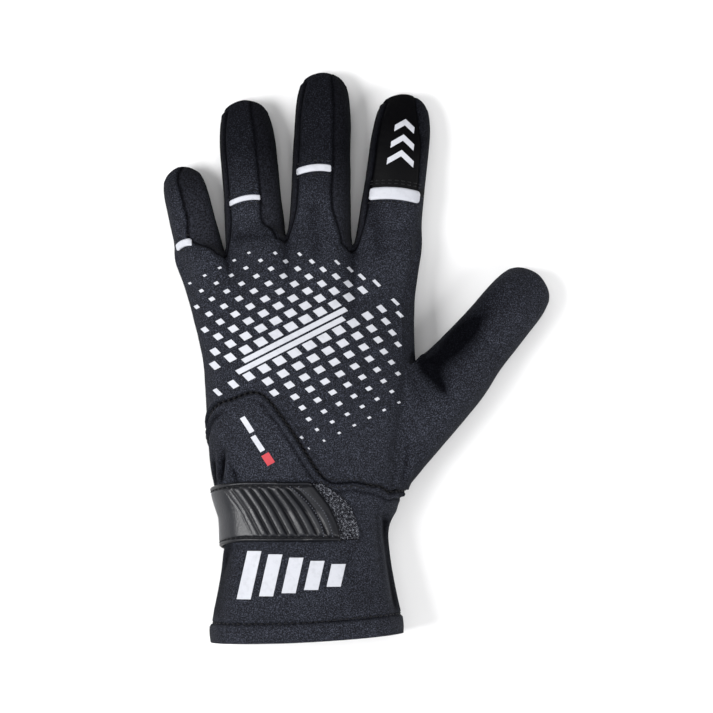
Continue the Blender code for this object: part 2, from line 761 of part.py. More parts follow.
class Wrist:
    """Reads the skin round the wrist by arc length, from the little finger's side over the back."""

    def __init__(self, tree, y, middle):
        self.tree, self.y, self.middle = tree, y, middle
        self.centre = np.array([-middle[0], WRIST_AXIS * WRIST_HEIGHT])
        self.angles = np.radians(np.linspace(STRAP_START, STRAP_LIMIT, STRAP_READINGS))
        spots = np.array([self.hit(a, y)[0] for a in self.angles])
        steps = np.linalg.norm(np.diff(spots, axis=0), axis=1)
        self.lengths = np.concatenate([[0.0], np.cumsum(steps)])

    def hit(self, angle, y):
        """Point and normal of the skin at an angle round the wrist's axis."""
        out = np.array([math.cos(angle), 0.0, math.sin(angle)])
        start = np.array([self.centre[0], y, self.centre[1]]) + out * READING_START
        place, normal, _, _ = self.tree.ray_cast(Vector(start), Vector(-out))
        return np.array(place), np.array(normal)

    def read(self, length, y):
        """Point and normal at a length round the wrist."""
        return self.hit(float(np.interp(length, self.lengths, self.angles)), y)


def strap_layout():
    """Columns of the strap: length from its anchored end, slant, and rib height."""
    ribs_from = STRAP_LENGTH - RIB_COUNT * RIB_PITCH - STRAP_TAIL
    plain = np.linspace(0.0, ribs_from, STRAP_PLAIN_COLUMNS)
    columns = [(s, STRAP_SLANT * s / ribs_from, 0.0) for s in plain]
    for rib in range(RIB_COUNT):
        crest = ribs_from + (rib + 0.5) * RIB_PITCH
        columns.append((crest, STRAP_SLANT, RIB_HEIGHT))
        columns.append((crest + RIB_PITCH / 2, STRAP_SLANT, 0.0))
    columns.append((STRAP_LENGTH, STRAP_END_SLANT, 0.0))
    return columns


def strap_y(v, length):
    """Place along the hand of the share v of the strap's width; its anchored end sits lower."""
    droop = STRAP_DROOP * max(0.0, 1 - length / STRAP_DROOP_REACH) ** STRAP_DROOP_CURVE
    return CUFF_LENGTH - STRAP_DROP + v * STRAP_WIDTH - droop


def pad_lift(length):
    """How far the strap rises to pass over the loop pad."""
    start = STRAP_LENGTH - PAD_TUCK - PAD_RAMP_START
    return (PAD_WALL + SURFACE_GAP) * float(np.clip((length - start) / PAD_RAMP, 0.0, 1.0))


def pad_place(v, share):
    """Length round the wrist of the pad at the share v of its width and a share of its reach."""
    start = STRAP_LENGTH - PAD_TUCK - STRAP_END_SLANT * v * STRAP_WIDTH
    round_share = max(0.0, (v - PAD_CORNER_FROM) / (1 - PAD_CORNER_FROM))
    corner = PAD_CORNER * round_share**PAD_CORNER_CURVE
    end = STRAP_LENGTH + PAD_REACH - corner
    return start + (end - start) * share


def build_strap(wrist, material):
    """Leather strap from the little finger's side over the back, with slanting ribs."""
    rows = []
    for v in np.linspace(1.0, 0.0, STRAP_ROWS):
        row = []
        for length, slant, rib in strap_layout():
            at = length - slant * v * STRAP_WIDTH
            y = strap_y(v, at) - wrist.middle[1]
            place, normal = wrist.read(at, y)
            slack = STRAP_SLACK * math.exp(-(((at - STRAP_SLACK_AT) / STRAP_SLACK_SPREAD) ** 2))
            lift = SURFACE_GAP + slack + pad_lift(length)
            ridge = rib if 0.0 < v < 1.0 else 0.0
            row.append((place + normal * lift, normal, ridge))
        rows.append(row)
    return surface_grid("wrist_strap", [row[::-1] for row in rows], STRAP_WALL, material)


def build_pad(wrist, material):
    """Loop pad that the strap's end closes on."""
    rows = []
    for v in np.linspace(1 - PAD_MARGIN, PAD_MARGIN, PAD_ROWS):
        row = []
        for share in np.linspace(0.0, 1.0, PAD_COLUMNS):
            at = pad_place(v, share)
            place, normal = wrist.read(at, strap_y(v, at) - wrist.middle[1])
            row.append((place + normal * SURFACE_GAP, normal, 0.0))
        rows.append(row)
    return surface_grid("loop_pad", [row[::-1] for row in rows], PAD_WALL, material)


def build_bar(f, tree, middle, material):
    """Reflective bar sewn over the seam that crosses finger f's back."""
    finger, bar = FINGERS[f], BARS[f]
    turn = math.radians(finger.lean)
    ahead = np.array([-math.sin(turn), math.cos(turn)])
    right = np.array([math.cos(turn), math.sin(turn)])
    base = (knuckle_point(f) + knuckle_point(f + 1)) / 2 - middle
    centre = base + ahead * (finger.rings[finger.bar] * finger.length * FINGER_LENGTH)
    width = finger.width * FINGER_WIDTH
    slope = math.tan(math.radians(bar.tilt))
    rows = []
    for v in (0.5, 0.0, -0.5):
        row = []
        for u in np.linspace(bar.start, bar.end, BAR_COLUMNS):
            tilted = v * bar.width + (u - (bar.start + bar.end) / 2) * slope / 2
            x, y = centre + right * (u * width / 2) + ahead * (tilted * width)
            place, normal, _, _ = tree.ray_cast(Vector((x, y, READING_START)), Vector((0, 0, -1)))
            row.append((np.array(place) + np.array(normal) * SURFACE_GAP, np.array(normal), 0.0))
        rows.append(row)
    return surface_grid("bar_" + finger.name, [row[::-1] for row in rows], BAR_WALL, material)


def make_materials():
    """Principled materials by name."""
    made = {}
    for name, m in MATERIALS.items():
        material = bpy.data.materials.new(name)
        material.use_nodes = True
        shader = material.node_tree.nodes["Principled BSDF"]
        shader.inputs["Base Color"].default_value = (*m.colour, 1.0)
        shader.inputs["Roughness"].default_value = m.roughness
        shader.inputs["Metallic"].default_value = 0.0
        made[name] = material
    return made


def main():
    for old in list(bpy.data.objects):
        bpy.data.objects.remove(old)
    materials = make_materials()
    skin = build_skin(SKIN_LEVEL)
    points, quads, _, _, middle = skin
    tree = BVHTree.FromPolygons([tuple(p) for p in points], [tuple(q) for q in quads])
    fabric = materials["back_fabric"]
    for number, name in enumerate(PANELS):
        if number == PALM:
            build_panel(number, PALM_WALL, materials["palm_suede"], skin)
        elif name == "tip_patch_index":
            build_panel(number, BACK_WALL, materials["tip_patch"], skin)
        elif FIRST_GUSSET <= number < FIRST_TIP:
            build_panel(number, GUSSET_WALL, fabric, skin)
        else:
            build_panel(number, BACK_WALL, fabric, skin)
    wrist = Wrist(tree, CUFF_LENGTH + STRAP_WIDTH / 2 - middle[1], middle)
    build_strap(wrist, materials["strap_leather"])
    build_pad(wrist, materials["loop_pile"])
    for f in range(len(FINGERS)):
        build_bar(f, tree, middle, materials["reflective_film"])


main()
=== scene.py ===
"""Karting glove for the left hand: the looks that go over its CAD model, in metres.

The outer skin is worked out again, from the same sizes as the CAD model's, and finer. Its panels get
seams, puckers, folds, stitches and prints, and each stands for the CAD panel of its place.
"""

import math
from collections import namedtuple

import bpy
import numpy as np
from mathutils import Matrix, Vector, noise
from mathutils.bvhtree import BVHTree
from mathutils.kdtree import KDTree


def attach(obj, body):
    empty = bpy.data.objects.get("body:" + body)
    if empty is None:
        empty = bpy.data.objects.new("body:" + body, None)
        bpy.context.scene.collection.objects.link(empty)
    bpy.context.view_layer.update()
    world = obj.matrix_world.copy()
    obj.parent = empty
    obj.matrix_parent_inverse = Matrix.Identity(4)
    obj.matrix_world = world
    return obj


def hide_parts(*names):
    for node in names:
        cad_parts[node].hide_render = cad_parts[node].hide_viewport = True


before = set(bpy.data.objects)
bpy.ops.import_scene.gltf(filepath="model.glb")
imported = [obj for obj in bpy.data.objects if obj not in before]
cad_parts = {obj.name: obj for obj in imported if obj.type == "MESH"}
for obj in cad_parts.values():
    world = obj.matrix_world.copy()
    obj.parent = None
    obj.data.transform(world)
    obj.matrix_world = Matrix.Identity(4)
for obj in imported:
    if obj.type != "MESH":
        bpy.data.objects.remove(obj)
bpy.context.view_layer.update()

# Cuff and hand
CUFF_LENGTH = 0.051
CUFF_WIDTH = 0.0895
CUFF_HEIGHT = 0.044
WRIST_WIDTH = 0.077
WRIST_HEIGHT = 0.036
HAND_LENGTH = 0.135
PALM_WIDTH = 0.100
PALM_HEIGHT = 0.036
HEM_DEPTH = 0.009
HEM_RISE = 0.0045
FLOOR_PRESS = 0.0008

# Fingers: the size that each finger's shares refer to, and the thumb
FINGER_LENGTH = 0.0777
FINGER_WIDTH = 0.0268
FINGER_HEIGHT = 0.0195
FINGER_ARCH = 0.0020
THUMB_LENGTH = 0.067
THUMB_WIDTH = 0.0292
THUMB_HEIGHT = 0.0225
THUMB_LEAN = -40.0

# Wall at the hem, and the gap under the pieces that lie on the skin
HEM_WALL = 0.0032
SURFACE_GAP = 0.00045

# Wrist strap and its loop pad: the strap runs round the wrist from an angle in degrees, and its
# slants are sideways steps for each step across it
STRAP_WIDTH = 0.0282
STRAP_WALL = 0.0014
STRAP_LENGTH = 0.076
STRAP_START = 197.0
STRAP_LIMIT = 20.0
STRAP_READINGS = 97
WRIST_AXIS = 0.45
STRAP_DROP = 0.0035
STRAP_SLANT = 0.62
STRAP_END_SLANT = 0.46
STRAP_TAIL = 0.003
STRAP_SLACK = 0.0004
STRAP_SLACK_AT = 0.010
STRAP_SLACK_SPREAD = 0.012
STRAP_DROOP = 0.0052
STRAP_DROOP_REACH = 0.034
STRAP_DROOP_CURVE = 1.5
RIB_COUNT = 8
RIB_PITCH = 0.0041
RIBS_FROM = STRAP_LENGTH - RIB_COUNT * RIB_PITCH - STRAP_TAIL
PAD_WALL = 0.0009
PAD_TUCK = 0.010
PAD_REACH = 0.009
PAD_CORNER = 0.018
PAD_CORNER_FROM = 0.35
PAD_CORNER_CURVE = 1.6
PAD_MARGIN = 0.03
PAD_RAMP = 0.004
PAD_RAMP_START = 0.006

# Gathers at the wrist, on the palm side: where the elastic is as a share of the hand's length, how
# far the folds reach above it and how they fan out below it, as shares
GATHER_DEPTH = 0.0026
GATHER_LENGTH = 0.036
GATHER_AT = 0.075
GATHER_ABOVE = 0.22
GATHER_FAN = 0.22
GATHER_FOLDS = 7.5
GATHER_WIDTH = 0.95
GATHER_FADE = 1.3
GATHER_EDGE = 4

# Cuff sections: share of the cuff's length, and how far it has narrowed to the wrist
CuffSection = namedtuple("CuffSection", "along narrowed middle")
CUFF_SECTIONS = (
    CuffSection(0.00, 0.00, -0.004),
    CuffSection(0.18, 0.00, -0.004),
    CuffSection(0.59, 0.62, -0.003),
    CuffSection(1.00, 1.00, -0.006),
)

# Hand sections: shares of the hand's length, the palm's width and the palm's height
HandSection = namedtuple("HandSection", "along ulnar radial height")
HAND_SECTIONS = (
    HandSection(0.067, -0.405, 0.412, 0.97),
    HandSection(0.156, -0.440, 0.465, 0.97),
    HandSection(0.244, -0.452, 0.482, 0.98),
    HandSection(0.378, -0.474, 0.496, 1.02),
    HandSection(0.563, -0.486, 0.513, 1.02),
    HandSection(0.652, -0.508, 0.508, 0.97),
    HandSection(0.719, -0.520, 0.502, 0.92),
    HandSection(0.778, -0.541, 0.502, 0.87),
    HandSection(0.844, -0.576, 0.510, 0.81),
    HandSection(0.904, -0.612, 0.518, 0.76),
    HandSection(0.985, -0.632, 0.534, 0.70),
)

# Rings of the cage: place along the palm side, as shares of cuff and hand, and share of the slant
# that the wrist seam has across the back
Ring = namedtuple("Ring", "cuff hand slant")
RINGS = (
    Ring(0.00, 0.000, 0.00),
    Ring(0.18, 0.000, 0.00),
    Ring(0.59, 0.000, 0.02),
    Ring(1.00, 0.008, 0.12),
    Ring(1.00, 0.082, 0.44),
    Ring(1.00, 0.156, 1.00),
    Ring(1.00, 0.304, 0.77),
    Ring(1.00, 0.452, 0.54),
    Ring(1.00, 0.600, 0.31),
    Ring(1.00, 0.807, 0.10),
)
SEAM_RING = 5
THUMB_TOP_RING = 8

# Slant of the wrist seam: place across the back, from -1 at the little finger's side to 1 at the
# thumb's, and how far above the palm side's ring it runs, as a share of the hand's length
SeamPoint = namedtuple("SeamPoint", "across lift")
SEAM_SLANT = (
    SeamPoint(-1.00, 0.270),
    SeamPoint(-0.72, 0.315),
    SeamPoint(-0.50, 0.335),
    SeamPoint(-0.15, 0.190),
    SeamPoint(0.10, 0.050),
    SeamPoint(0.50, 0.022),
    SeamPoint(1.00, -0.012),
)

# Shares of the seam's lift that the sides of the wrist follow, and the palm side's corners, which
# start at a share of the half width
SIDE_LIFT = 0.75
CORNER_LIFT = 0.45
CORNER_FROM = 0.6

# Base line of the fingers, from the little finger's outer side to the index finger's: shares of
# the palm's width and the hand's length. The three in the middle are the forks between fingers.
Knuckle = namedtuple("Knuckle", "across along")
KNUCKLES = (
    Knuckle(-0.622, 0.940),
    Knuckle(-0.386, 0.981),
    Knuckle(-0.098, 1.038),
    Knuckle(0.212, 1.002),
    Knuckle(0.536, 0.978),
)
FORK_BACK_DROP = 0.0020
FORK_PALM_DROP = 0.0045
FORK_PALM_RISE = 0.0030
FORK_DIP = 0.24
FORK_SIDE_DIP = 0.05
SIDE_INSET = 0.03
KNUCKLE_ARCH = 0.16

# Fingers: length, width and height are shares of the sizes above, lean is in degrees towards
# the little finger, seam is where the side gusset starts across the back (-1 to 1), rings are
# shares of the finger's length, and bar is the ring that its reflective bar covers
Finger = namedtuple("Finger", "name length width height lean seam rings bar")
FINGERS = (
    Finger("little", 0.565, 0.780, 0.86, 13.2, -0.18, (0.19, 0.40, 0.60, 0.76, 0.91), 0),
    Finger("ring", 0.872, 0.990, 0.95, 5.0, 0.30, (0.14, 0.32, 0.54, 0.76, 0.93), 1),
    Finger("middle", 1.020, 1.000, 1.00, -1.4, 0.40, (0.20, 0.43, 0.61, 0.79, 0.94), 1),
    Finger("index", 0.945, 1.050, 1.02, -7.0, 0.34, (0.17, 0.36, 0.57, 0.77, 0.93), 1),
)
BACK_SHARES = (0.40, 0.84)
PALM_SHARES = (0.34, 0.67)
RING_WIDTHS = (1.06, 1.02, 1.00, 0.96, 0.75)
RING_HEIGHTS = (1.10, 1.04, 1.00, 0.95, 0.58)
TIP_SPREAD = 0.12
TIP_RISE = 0.0026
TIP_WAIST = 0.50
PALM_REACH = 0.30

# Thumb: middle of its first ring as shares of the palm's width and the hand's length
THUMB_ACROSS = 0.654
THUMB_ALONG = 0.520
THUMB_RINGS = (0.08, 0.30, 0.54, 0.77, 0.93)
THUMB_WIDTHS = (1.18, 1.05, 1.00, 0.96, 0.76)
THUMB_HEIGHTS = (1.22, 1.08, 1.00, 0.94, 0.60)
THUMB_SEAM = 0.27
THUMB_ROOT = 0.55

# Reflective bars: start and end across the finger (-1 to 1), width as a share of the finger's, and
# tilt in degrees
Bar = namedtuple("Bar", "start end width tilt")
BARS = (
    Bar(-0.92, -0.22, 0.165, 8.0),
    Bar(-0.82, 0.28, 0.095, 7.0),
    Bar(-0.86, 0.34, 0.125, 7.0),
    Bar(-0.80, 0.86, 0.205, 3.0),
)

# Dents in the back: ends as shares of the palm's width and the hand's length, and depth and
# half width in metres
Dent = namedtuple("Dent", "x0 y0 x1 y1 depth spread")
DENTS = (
    Dent(0.224, 0.985, 0.205, 0.760, 0.0018, 0.0055),
    Dent(-0.084, 1.010, -0.090, 0.860, 0.0008, 0.0050),
    Dent(-0.371, 0.960, -0.340, 0.840, 0.0008, 0.0050),
    Dent(0.515, 0.600, 0.630, 0.460, 0.0030, 0.0075),
)

DENT_FADE = 0.7
BACK_FACING = 0.2
PALM_FACING = -0.3

# Columns across the back, and where the last ones stand, as shares of the half width; shape of the
# sections
BACK_COLUMNS = 12
COLUMN_REACH = 0.90
FINGER_REACH = 0.80
FINGER_SIDES = 10
FORK_COLUMNS = (3, 6, 9)
WAIST = 0.42
BACK_ROUNDING = 2.3
PALM_ROUNDING = 3.4
CUFF_FABRIC_COLUMNS = 3

# Where readings of the skin start, outside it, and the height that a reading falls back to
READING_START = 0.2
READING_HEIGHT = 0.012

PANELS = (
    "back_panel",
    "cuff_panel",
    "palm_panel",
    "gusset_little_ring",
    "gusset_ring_middle",
    "gusset_middle_index",
    "tip_back_little",
    "tip_back_ring",
    "tip_back_middle",
    "tip_patch_index",
)
BACK = PANELS.index("back_panel")
CUFF = PANELS.index("cuff_panel")
PALM = PANELS.index("palm_panel")
FIRST_GUSSET = PANELS.index("gusset_little_ring")
FIRST_TIP = PANELS.index("tip_back_little")

# Sides of a finger, counted round its ring from the back's little side
PALM_SIDES = (5, 6, 7)
LITTLE_SIDES = (8, 9)
FIRST_THUMB_SIDE = 2

# Subdivision of the cloth and the lining, and how far the lining lies inside the skin
CLOTH_LEVEL = 4
LINING_LEVEL = 2
LINING_DEPTH = 0.0026

# Edges of the cut panels: how far they turn in at a seam, and how they roll round at the hem
LIP_DEPTH = 0.0012
LIP_ROWS = (0.5, 1.0)
HEM_ROLL = 0.0004
HEM_ROLL_STEPS = 6

# Seams: depth of the groove, height of the ridges beside it, and shares of puckers and painted shade
SeamLook = namedtuple("SeamLook", "groove ridge pucker shade")
WRIST_SEAM = SeamLook(0.00135, 0.00110, 1.0, 1.0)
FINGER_SEAM = SeamLook(0.00050, 0.00020, 0.7, 0.85)
PALM_SEAM = SeamLook(0.00030, 0.00010, 0.1, 0.6)
BAR_SEAM = SeamLook(0.0, 0.0, 0.0, 0.0)
SHORTEST_SEAM = 4
GROOVE_WIDTH = 0.00065
SEAM_RIDGE_AT = 0.0019
SEAM_RIDGE_WIDTH = 0.0009
SHADE_WIDTH = 0.00095

# Second sewn row beside the wrist seam, on the cuff's side, with painted shade in its groove
SECOND_ROW_AT = 0.0040
SECOND_ROW_WIDTH = 0.0007
SECOND_ROW_DEPTH = 0.0007
SECOND_ROW_SHADE = 0.75

# Puckers beside the seams, and the shares of them that stay and that vary
PUCKER_HEIGHT = 0.00022
PUCKER_PITCH = 0.0036
PUCKER_REACH = 0.0042
PUCKER_START = 0.0008
PUCKER_SHARE = 0.6
PUCKER_CHANGE = 0.8

# Smooth noise over the cloth: the size of its bumps in metres, and a number that sets it apart
Noise = namedtuple("Noise", "size seed")
BROAD_WAVES = Noise(0.021, 1)
SMALL_WAVES = Noise(0.009, 2)
PUCKER_DRIFT = Noise(0.011, 3)
PUCKER_VARIETY = Noise(0.014, 4)
HEM_DRIFT = Noise(0.012, 5)
GATHER_DRIFT = Noise(0.013, 6)
NOISE_STEPS = (7.1, 3.7, 5.3)

# Slack waves: height, and the share that the broad ones have in it
WAVE_HEIGHT = 0.00042
BROAD_SHARE = 0.65

# How far noise shifts the phase of the puckers, the fine gathers and the hem's ripple, in radians
PUCKER_SHIFT = 3.0
GATHER_SHIFT = 2.5
HEM_SHIFT = 2.0

# Hem: the fold's edge, the groove of its stitches with painted shade in it and the ripple beside
# them, how its line rises across the cuff, and the largest exponent that the fold's edge works out
HEM_LIFT = 0.0006
HEM_LIFT_EDGE = 0.0005
HEM_GROOVE = 0.0011
HEM_GROOVE_WIDTH = 0.0007
HEM_SHADE = 0.8
HEM_SHADE_WIDTH = 0.0008
HEM_RIPPLE = 0.00016
HEM_RIPPLE_PITCH = 0.0047
HEM_RIPPLE_REACH = 0.0035
HEM_PATH_POINTS = 480
HEM_LEFT = -0.066
HEM_SPAN = 0.088
STEP_LIMIT = 30

# Skin under the strap: how far it is pressed in, and how far the calm area reaches
COVER_PRESS = 0.0002
COVER_BELOW = 0.004
COVER_RIGHT = 0.03
COVER_SOFT = 0.003
COVER_FROM = 0.004

# Painted shade on the ends of the fingers: how dark, from where along the hand, and over what length
FINGER_SHADE = 0.72
FINGER_SHADE_FROM = 0.068
FINGER_SHADE_OVER = 0.030

# How fast creases and painted shade patches come in as the skin turns to their side of the hand
FACING_GAIN = 3

# Creases: ends in the row frame, depth (below zero for a ridge) and half width, all in metres, and
# the side of the hand that they are on
Crease = namedtuple("Crease", "x0 y0 x1 y1 depth spread back")
# Painted shade in a crease for each metre of its depth, and its width as a share of the crease's
CREASE_SHADE = 380.0
CREASE_SHADE_SPREAD = 0.6
CREASE_START = 0.12
CREASE_SPAN = 0.80
CREASE_FADE = 0.6
CREASES = (
    Crease(0.0300, -0.0010, 0.0400, -0.0150, 0.0017, 0.0034, True),
    Crease(0.0384, -0.0130, 0.0440, -0.0200, 0.0012, 0.0020, True),
    Crease(0.0330, 0.0000, 0.0460, -0.0130, -0.0010, 0.0024, True),
    Crease(0.0250, -0.0080, 0.0330, -0.0240, 0.0008, 0.0026, True),
    Crease(0.0215, -0.0640, 0.0245, -0.0400, 0.0013, 0.0024, True),
    Crease(0.0275, -0.0600, 0.0300, -0.0430, 0.0007, 0.0022, True),
    Crease(0.0170, -0.0640, 0.0185, -0.0500, 0.0006, 0.0022, True),
    Crease(-0.0668, -0.0460, -0.0663, -0.0600, 0.0009, 0.0010, True),
    Crease(-0.0652, -0.0470, -0.0651, -0.0600, -0.0007, 0.0010, True),
    Crease(-0.0622, -0.0440, -0.0637, -0.0600, 0.0014, 0.0012, True),
    Crease(-0.0588, -0.0440, -0.0618, -0.0590, -0.0008, 0.0010, True),
    Crease(-0.0585, -0.0510, -0.0565, -0.0580, 0.0009, 0.0012, True),
    Crease(-0.0015, 0.0500, -0.0012, 0.0180, 0.0007, 0.0016, True),
    Crease(0.0040, 0.0470, 0.0060, 0.0260, -0.0005, 0.0028, True),
    Crease(-0.0600, -0.0905, -0.0655, -0.1060, 0.0010, 0.0020, True),
    Crease(-0.0500, -0.0900, -0.0530, -0.1020, 0.0006, 0.0024, True),
    Crease(-0.0350, -0.0900, -0.0350, -0.0990, 0.0004, 0.0026, True),
    Crease(0.0100, -0.0700, 0.0120, -0.1000, 0.0009, 0.0024, True),
    Crease(0.0135, -0.0740, 0.0190, -0.1160, 0.0019, 0.0020, True),
    Crease(0.0330, -0.0050, 0.0600, 0.0200, 0.0017, 0.0062, True),
    Crease(0.0460, -0.0130, 0.0690, 0.0210, -0.0011, 0.0042, True),
    Crease(-0.0040, -0.0880, -0.0020, -0.1060, 0.0005, 0.0028, True),
    Crease(-0.0820, 0.0660, -0.0700, 0.0690, 0.0004, 0.0014, True),
    Crease(-0.0560, 0.0560, -0.0400, 0.0570, 0.0004, 0.0015, True),
    Crease(-0.0270, 0.0560, -0.0100, 0.0550, 0.0004, 0.0015, True),
    Crease(0.0120, 0.0600, 0.0290, 0.0580, 0.0004, 0.0015, True),
    Crease(0.0590, 0.0090, 0.0700, -0.0030, 0.0005, 0.0018, True),
    Crease(-0.0500, 0.0200, -0.0050, 0.0330, 0.0012, 0.0024, False),
    Crease(-0.0480, 0.0010, 0.0080, 0.0120, 0.0010, 0.0024, False),
    Crease(-0.0050, -0.0500, 0.0120, 0.0050, 0.0011, 0.0026, False),
)

# Soft patches of painted shade: ends in the row frame and half width in metres, and how dark they are
ShadePatch = namedtuple("ShadePatch", "x0 y0 x1 y1 spread shade")
SHADE_PATCHES = (
    ShadePatch(0.0380, -0.0040, 0.0500, 0.0110, 0.0095, 0.62),
    ShadePatch(0.0470, 0.0080, 0.0630, 0.0270, 0.0085, 0.42),
    ShadePatch(0.0340, -0.0040, 0.0400, -0.0130, 0.0050, 0.40),
    ShadePatch(0.0150, -0.0780, 0.0195, -0.1180, 0.0016, 0.75),
    ShadePatch(-0.0672, -0.0500, -0.0664, -0.0590, 0.0009, 0.80),
    ShadePatch(-0.0628, -0.0480, -0.0637, -0.0580, 0.0014, 0.70),
    ShadePatch(-0.0575, -0.0540, -0.0560, -0.0585, 0.0016, 0.60),
    ShadePatch(-0.0608, -0.0905, -0.0668, -0.1190, 0.0034, 0.60),
    ShadePatch(-0.0560, 0.0560, -0.0400, 0.0570, 0.0030, 0.35),
    ShadePatch(0.0060, 0.0800, 0.0110, 0.0500, 0.0035, 0.45),
    ShadePatch(0.0370, 0.0800, 0.0300, 0.0300, 0.0030, 0.45),
    ShadePatch(-0.0210, 0.0700, -0.0190, 0.0480, 0.0030, 0.40),
)

# Painted shade: the sides of the hand and fingers are painted this much darker than their tops
SIDE_SHADE = 0.80
SIDE_SHADE_CURVE = 1.2

# Edge of the fabric strip along the index finger's end, metres in the row frame; its seam's groove
# and the painted shade in it
StripEdge = namedtuple("StripEdge", "x y")
TIP_STRIP = (StripEdge(0.0290, 0.0785), StripEdge(0.0304, 0.1000), StripEdge(0.0276, 0.1215))
STRIP_GROOVE = 0.0004
STRIP_GROOVE_WIDTH = 0.0006
STRIP_SHADE = 0.8

# Flat cut of a cloth piece: width and length in metres, area in square metres, and how it is held
Cut = namedtuple("Cut", "width length area held")

# Stitches, and the points round and along one of them
STITCH_LENGTH = 0.0022
STITCH_PITCH = 0.0029
STITCH_RADIUS = 0.00026
STITCH_TIP = 0.00002
STITCH_RISE = 1.15
STITCH_BOW = 1.9
STITCH_TAPER = 3
STITCH_SIDES = 6
STITCH_STATIONS = 6
STITCH_FROM_SEAM = 0.0019
HEADING_STEP = 0.0006
DOT_PITCH = 0.0014
DOT_LENGTH = 0.0008

# Rows of stitches above and below a bar, the index finger's second one above it, how far past its
# ends they run, and their points
BAR_ROW_ABOVE = 0.0018
BAR_ROW_BELOW = 0.0013
BAR_ROW_TOP = 0.0032
BAR_ROW_START = 0.04
BAR_ROW_END = 0.02
BAR_ROW_POINTS = 24

# Strap's leather: its mesh, the seam along its edges, its rounded lips, and painted shade in the seam,
# on the rim and at the ends
LEATHER_ROWS = 61
LEATHER_STEP = 0.00040
STRAP_EDGE = 0.0019
STRAP_SEAM_WIDTH = 0.00055
STRAP_SEAM_DEPTH = 0.0005
STRAP_SEAM_SHADE = 0.9
STRAP_PUFF = 0.00035
LIP_ROUND = 0.0009
LIP_LOW = 0.25
END_LOW = 0.3
RIM_WIDTH = 0.0007
RIM_SHADE = 0.7
END_SHADE_WIDTH = 0.0008
END_SHADE = 0.8

# Strap's free end, which bows out, and its ribs: how they start, stop and stand out, and the painted
# shade in their grooves
STRAP_END_BULGE = 0.0034
STRAP_BOW_CURVE = 1.5
RIB_RISE = 0.00095
RIB_TOP = 0.45
RIB_SHARPNESS = 2.5
RIB_INSET = 0.0004
RIB_FADE = 0.0012
RIB_RUN_IN = 2.5
RIB_RUN_OUT = 0.008
RIB_PAST_END = 0.002
RIB_SHADE = 0.95
RIB_SHADE_SHARPNESS = 3

# Stitches on the strap: how far the edge rows stop short, how proud they are, and the two pale rows
# across the end with their distance from it and their bow
EDGE_ROW_SHORT = 0.002
EDGE_ROW_LIFT = 0.00005
EDGE_ROW_POINTS = 160
EndRow = namedtuple("EndRow", "before bow")
END_ROWS = (EndRow(0.0034, 0.0012), EndRow(0.0074, 0.0022))
END_ROW_POINTS = 40

# Loop pad: rows and columns of its mesh, uneven end, rounded edges and bumps
PAD_MESH = (40, 34)
PAD_WOBBLE = 0.0005
PAD_WOBBLE_TURN = 11
PAD_EDGE = 0.03
PAD_END = 0.05
PAD_EDGE_LOW = 0.35
PAD_BUMP = 0.00012
PAD_BUMP_SIZE = 0.0006

# Pile on the loop pad: number of spikes, the rows and columns of its mesh that they stand between,
# their length and its range, the range of their rise, and their lean and thickness
PILE_COUNT = 2600
PILE_ROWS = (0.3, 38.4)
PILE_COLUMNS = (13.6, 32.6)
PILE_LENGTH = 0.00065
PILE_LENGTHS = (0.6, 1.2)
PILE_RISES = (0.5, 1.0)
PILE_LEAN = 0.45
PILE_RADIUS = 0.00011

# Reflective bars: rows and columns of their mesh, bow, round ends and padded section
BAR_MESH = (13, 49)
BAR_BOW = -0.045
BAR_ROUND = 0.5
BAR_LIFT = 0.00035
BAR_PUFF = 0.00045
BAR_SINK = 0.0003
BAR_FULLNESS = 6

# Printed film on the fabric
FILM_LIFT = 0.00020
FILM_STEP = 0.0009

# Stage: half the floor's size and how far it lies below the glove, the lights with the height that
# they point at, and the world's strength
FLOOR_REACH = 2.0
FLOOR_DROP = 0.0002
FLOOR_TONES = ((0.86, 0.86, 0.865), (0.88, 0.88, 0.885))
Light = namedtuple("Light", "name place aim size power")
LIGHTS = (
    Light("key", (-0.80, -0.10, 0.80), 0.02, 0.60, 15.5),
    Light("fill", (0.80, -0.45, 0.70), 0.02, 0.60, 10.5),
    Light("top", (0.0, 0.5, 1.5), 0.0, 1.20, 6.5),
)
WORLD_STRENGTH = 0.34

# Camera: height over the floor, what it takes in from top to bottom, and the height where it does
CAMERA_HEIGHT = 3.0
FRAME_HEIGHT = 0.335
AIM_HEIGHT = 0.02

rng = np.random.default_rng(11)

# Print on the back of the hand: its middle, lean and shear in degrees, and its rows of dashes, which
# get shorter and lower away from the middle. A dash is left out where the skin round it, as far as
# the clearance in shares of its sides, isn't the back panel.
PRINT_CENTRE = (-0.0290, 0.0060)
PRINT_LEAN = 27.0
PRINT_SHEAR = 18.0
PRINT_ROWS = 8
PRINT_PITCH = 0.0062
PRINT_DASH = 0.0078
PRINT_REACH = 0.0490
PRINT_TOP = 0.050
PRINT_RIGHT = 0.022
PRINT_LAST_ROW = 0.4
PRINT_NARROWING = 0.42
PRINT_NARROW_CURVE = 1.3
PRINT_STAGGER = 0.55
DASH_TALL = 0.66
DASH_WIDE = 0.64
DASH_LOWEST = 0.20
DASH_SHORTEST = (0.25, 0.30)
DASH_EDGE_CURVE = 2.2
DASH_CLEARANCE = (-0.4, 1.4)
Stripe = namedtuple("Stripe", "offset before after tall")
PRINT_STRIPES = (Stripe(-0.0012, 0.030, 0.026, 0.0026), Stripe(0.0024, 0.024, 0.030, 0.0026))

# Slanting blocks on the cuff, from the tallest: corner, size, and steps from one to the next
BLOCK_COUNT = 5
BLOCK_CORNER = (-0.0560, -0.1135)
BLOCK_WIDE = 0.0066
BLOCK_TALL = 0.0225
BLOCK_LEAN = 0.0050
BLOCK_STEP = 0.0105
BLOCK_RISE = 0.0015
BLOCK_SHRINK = 0.0030

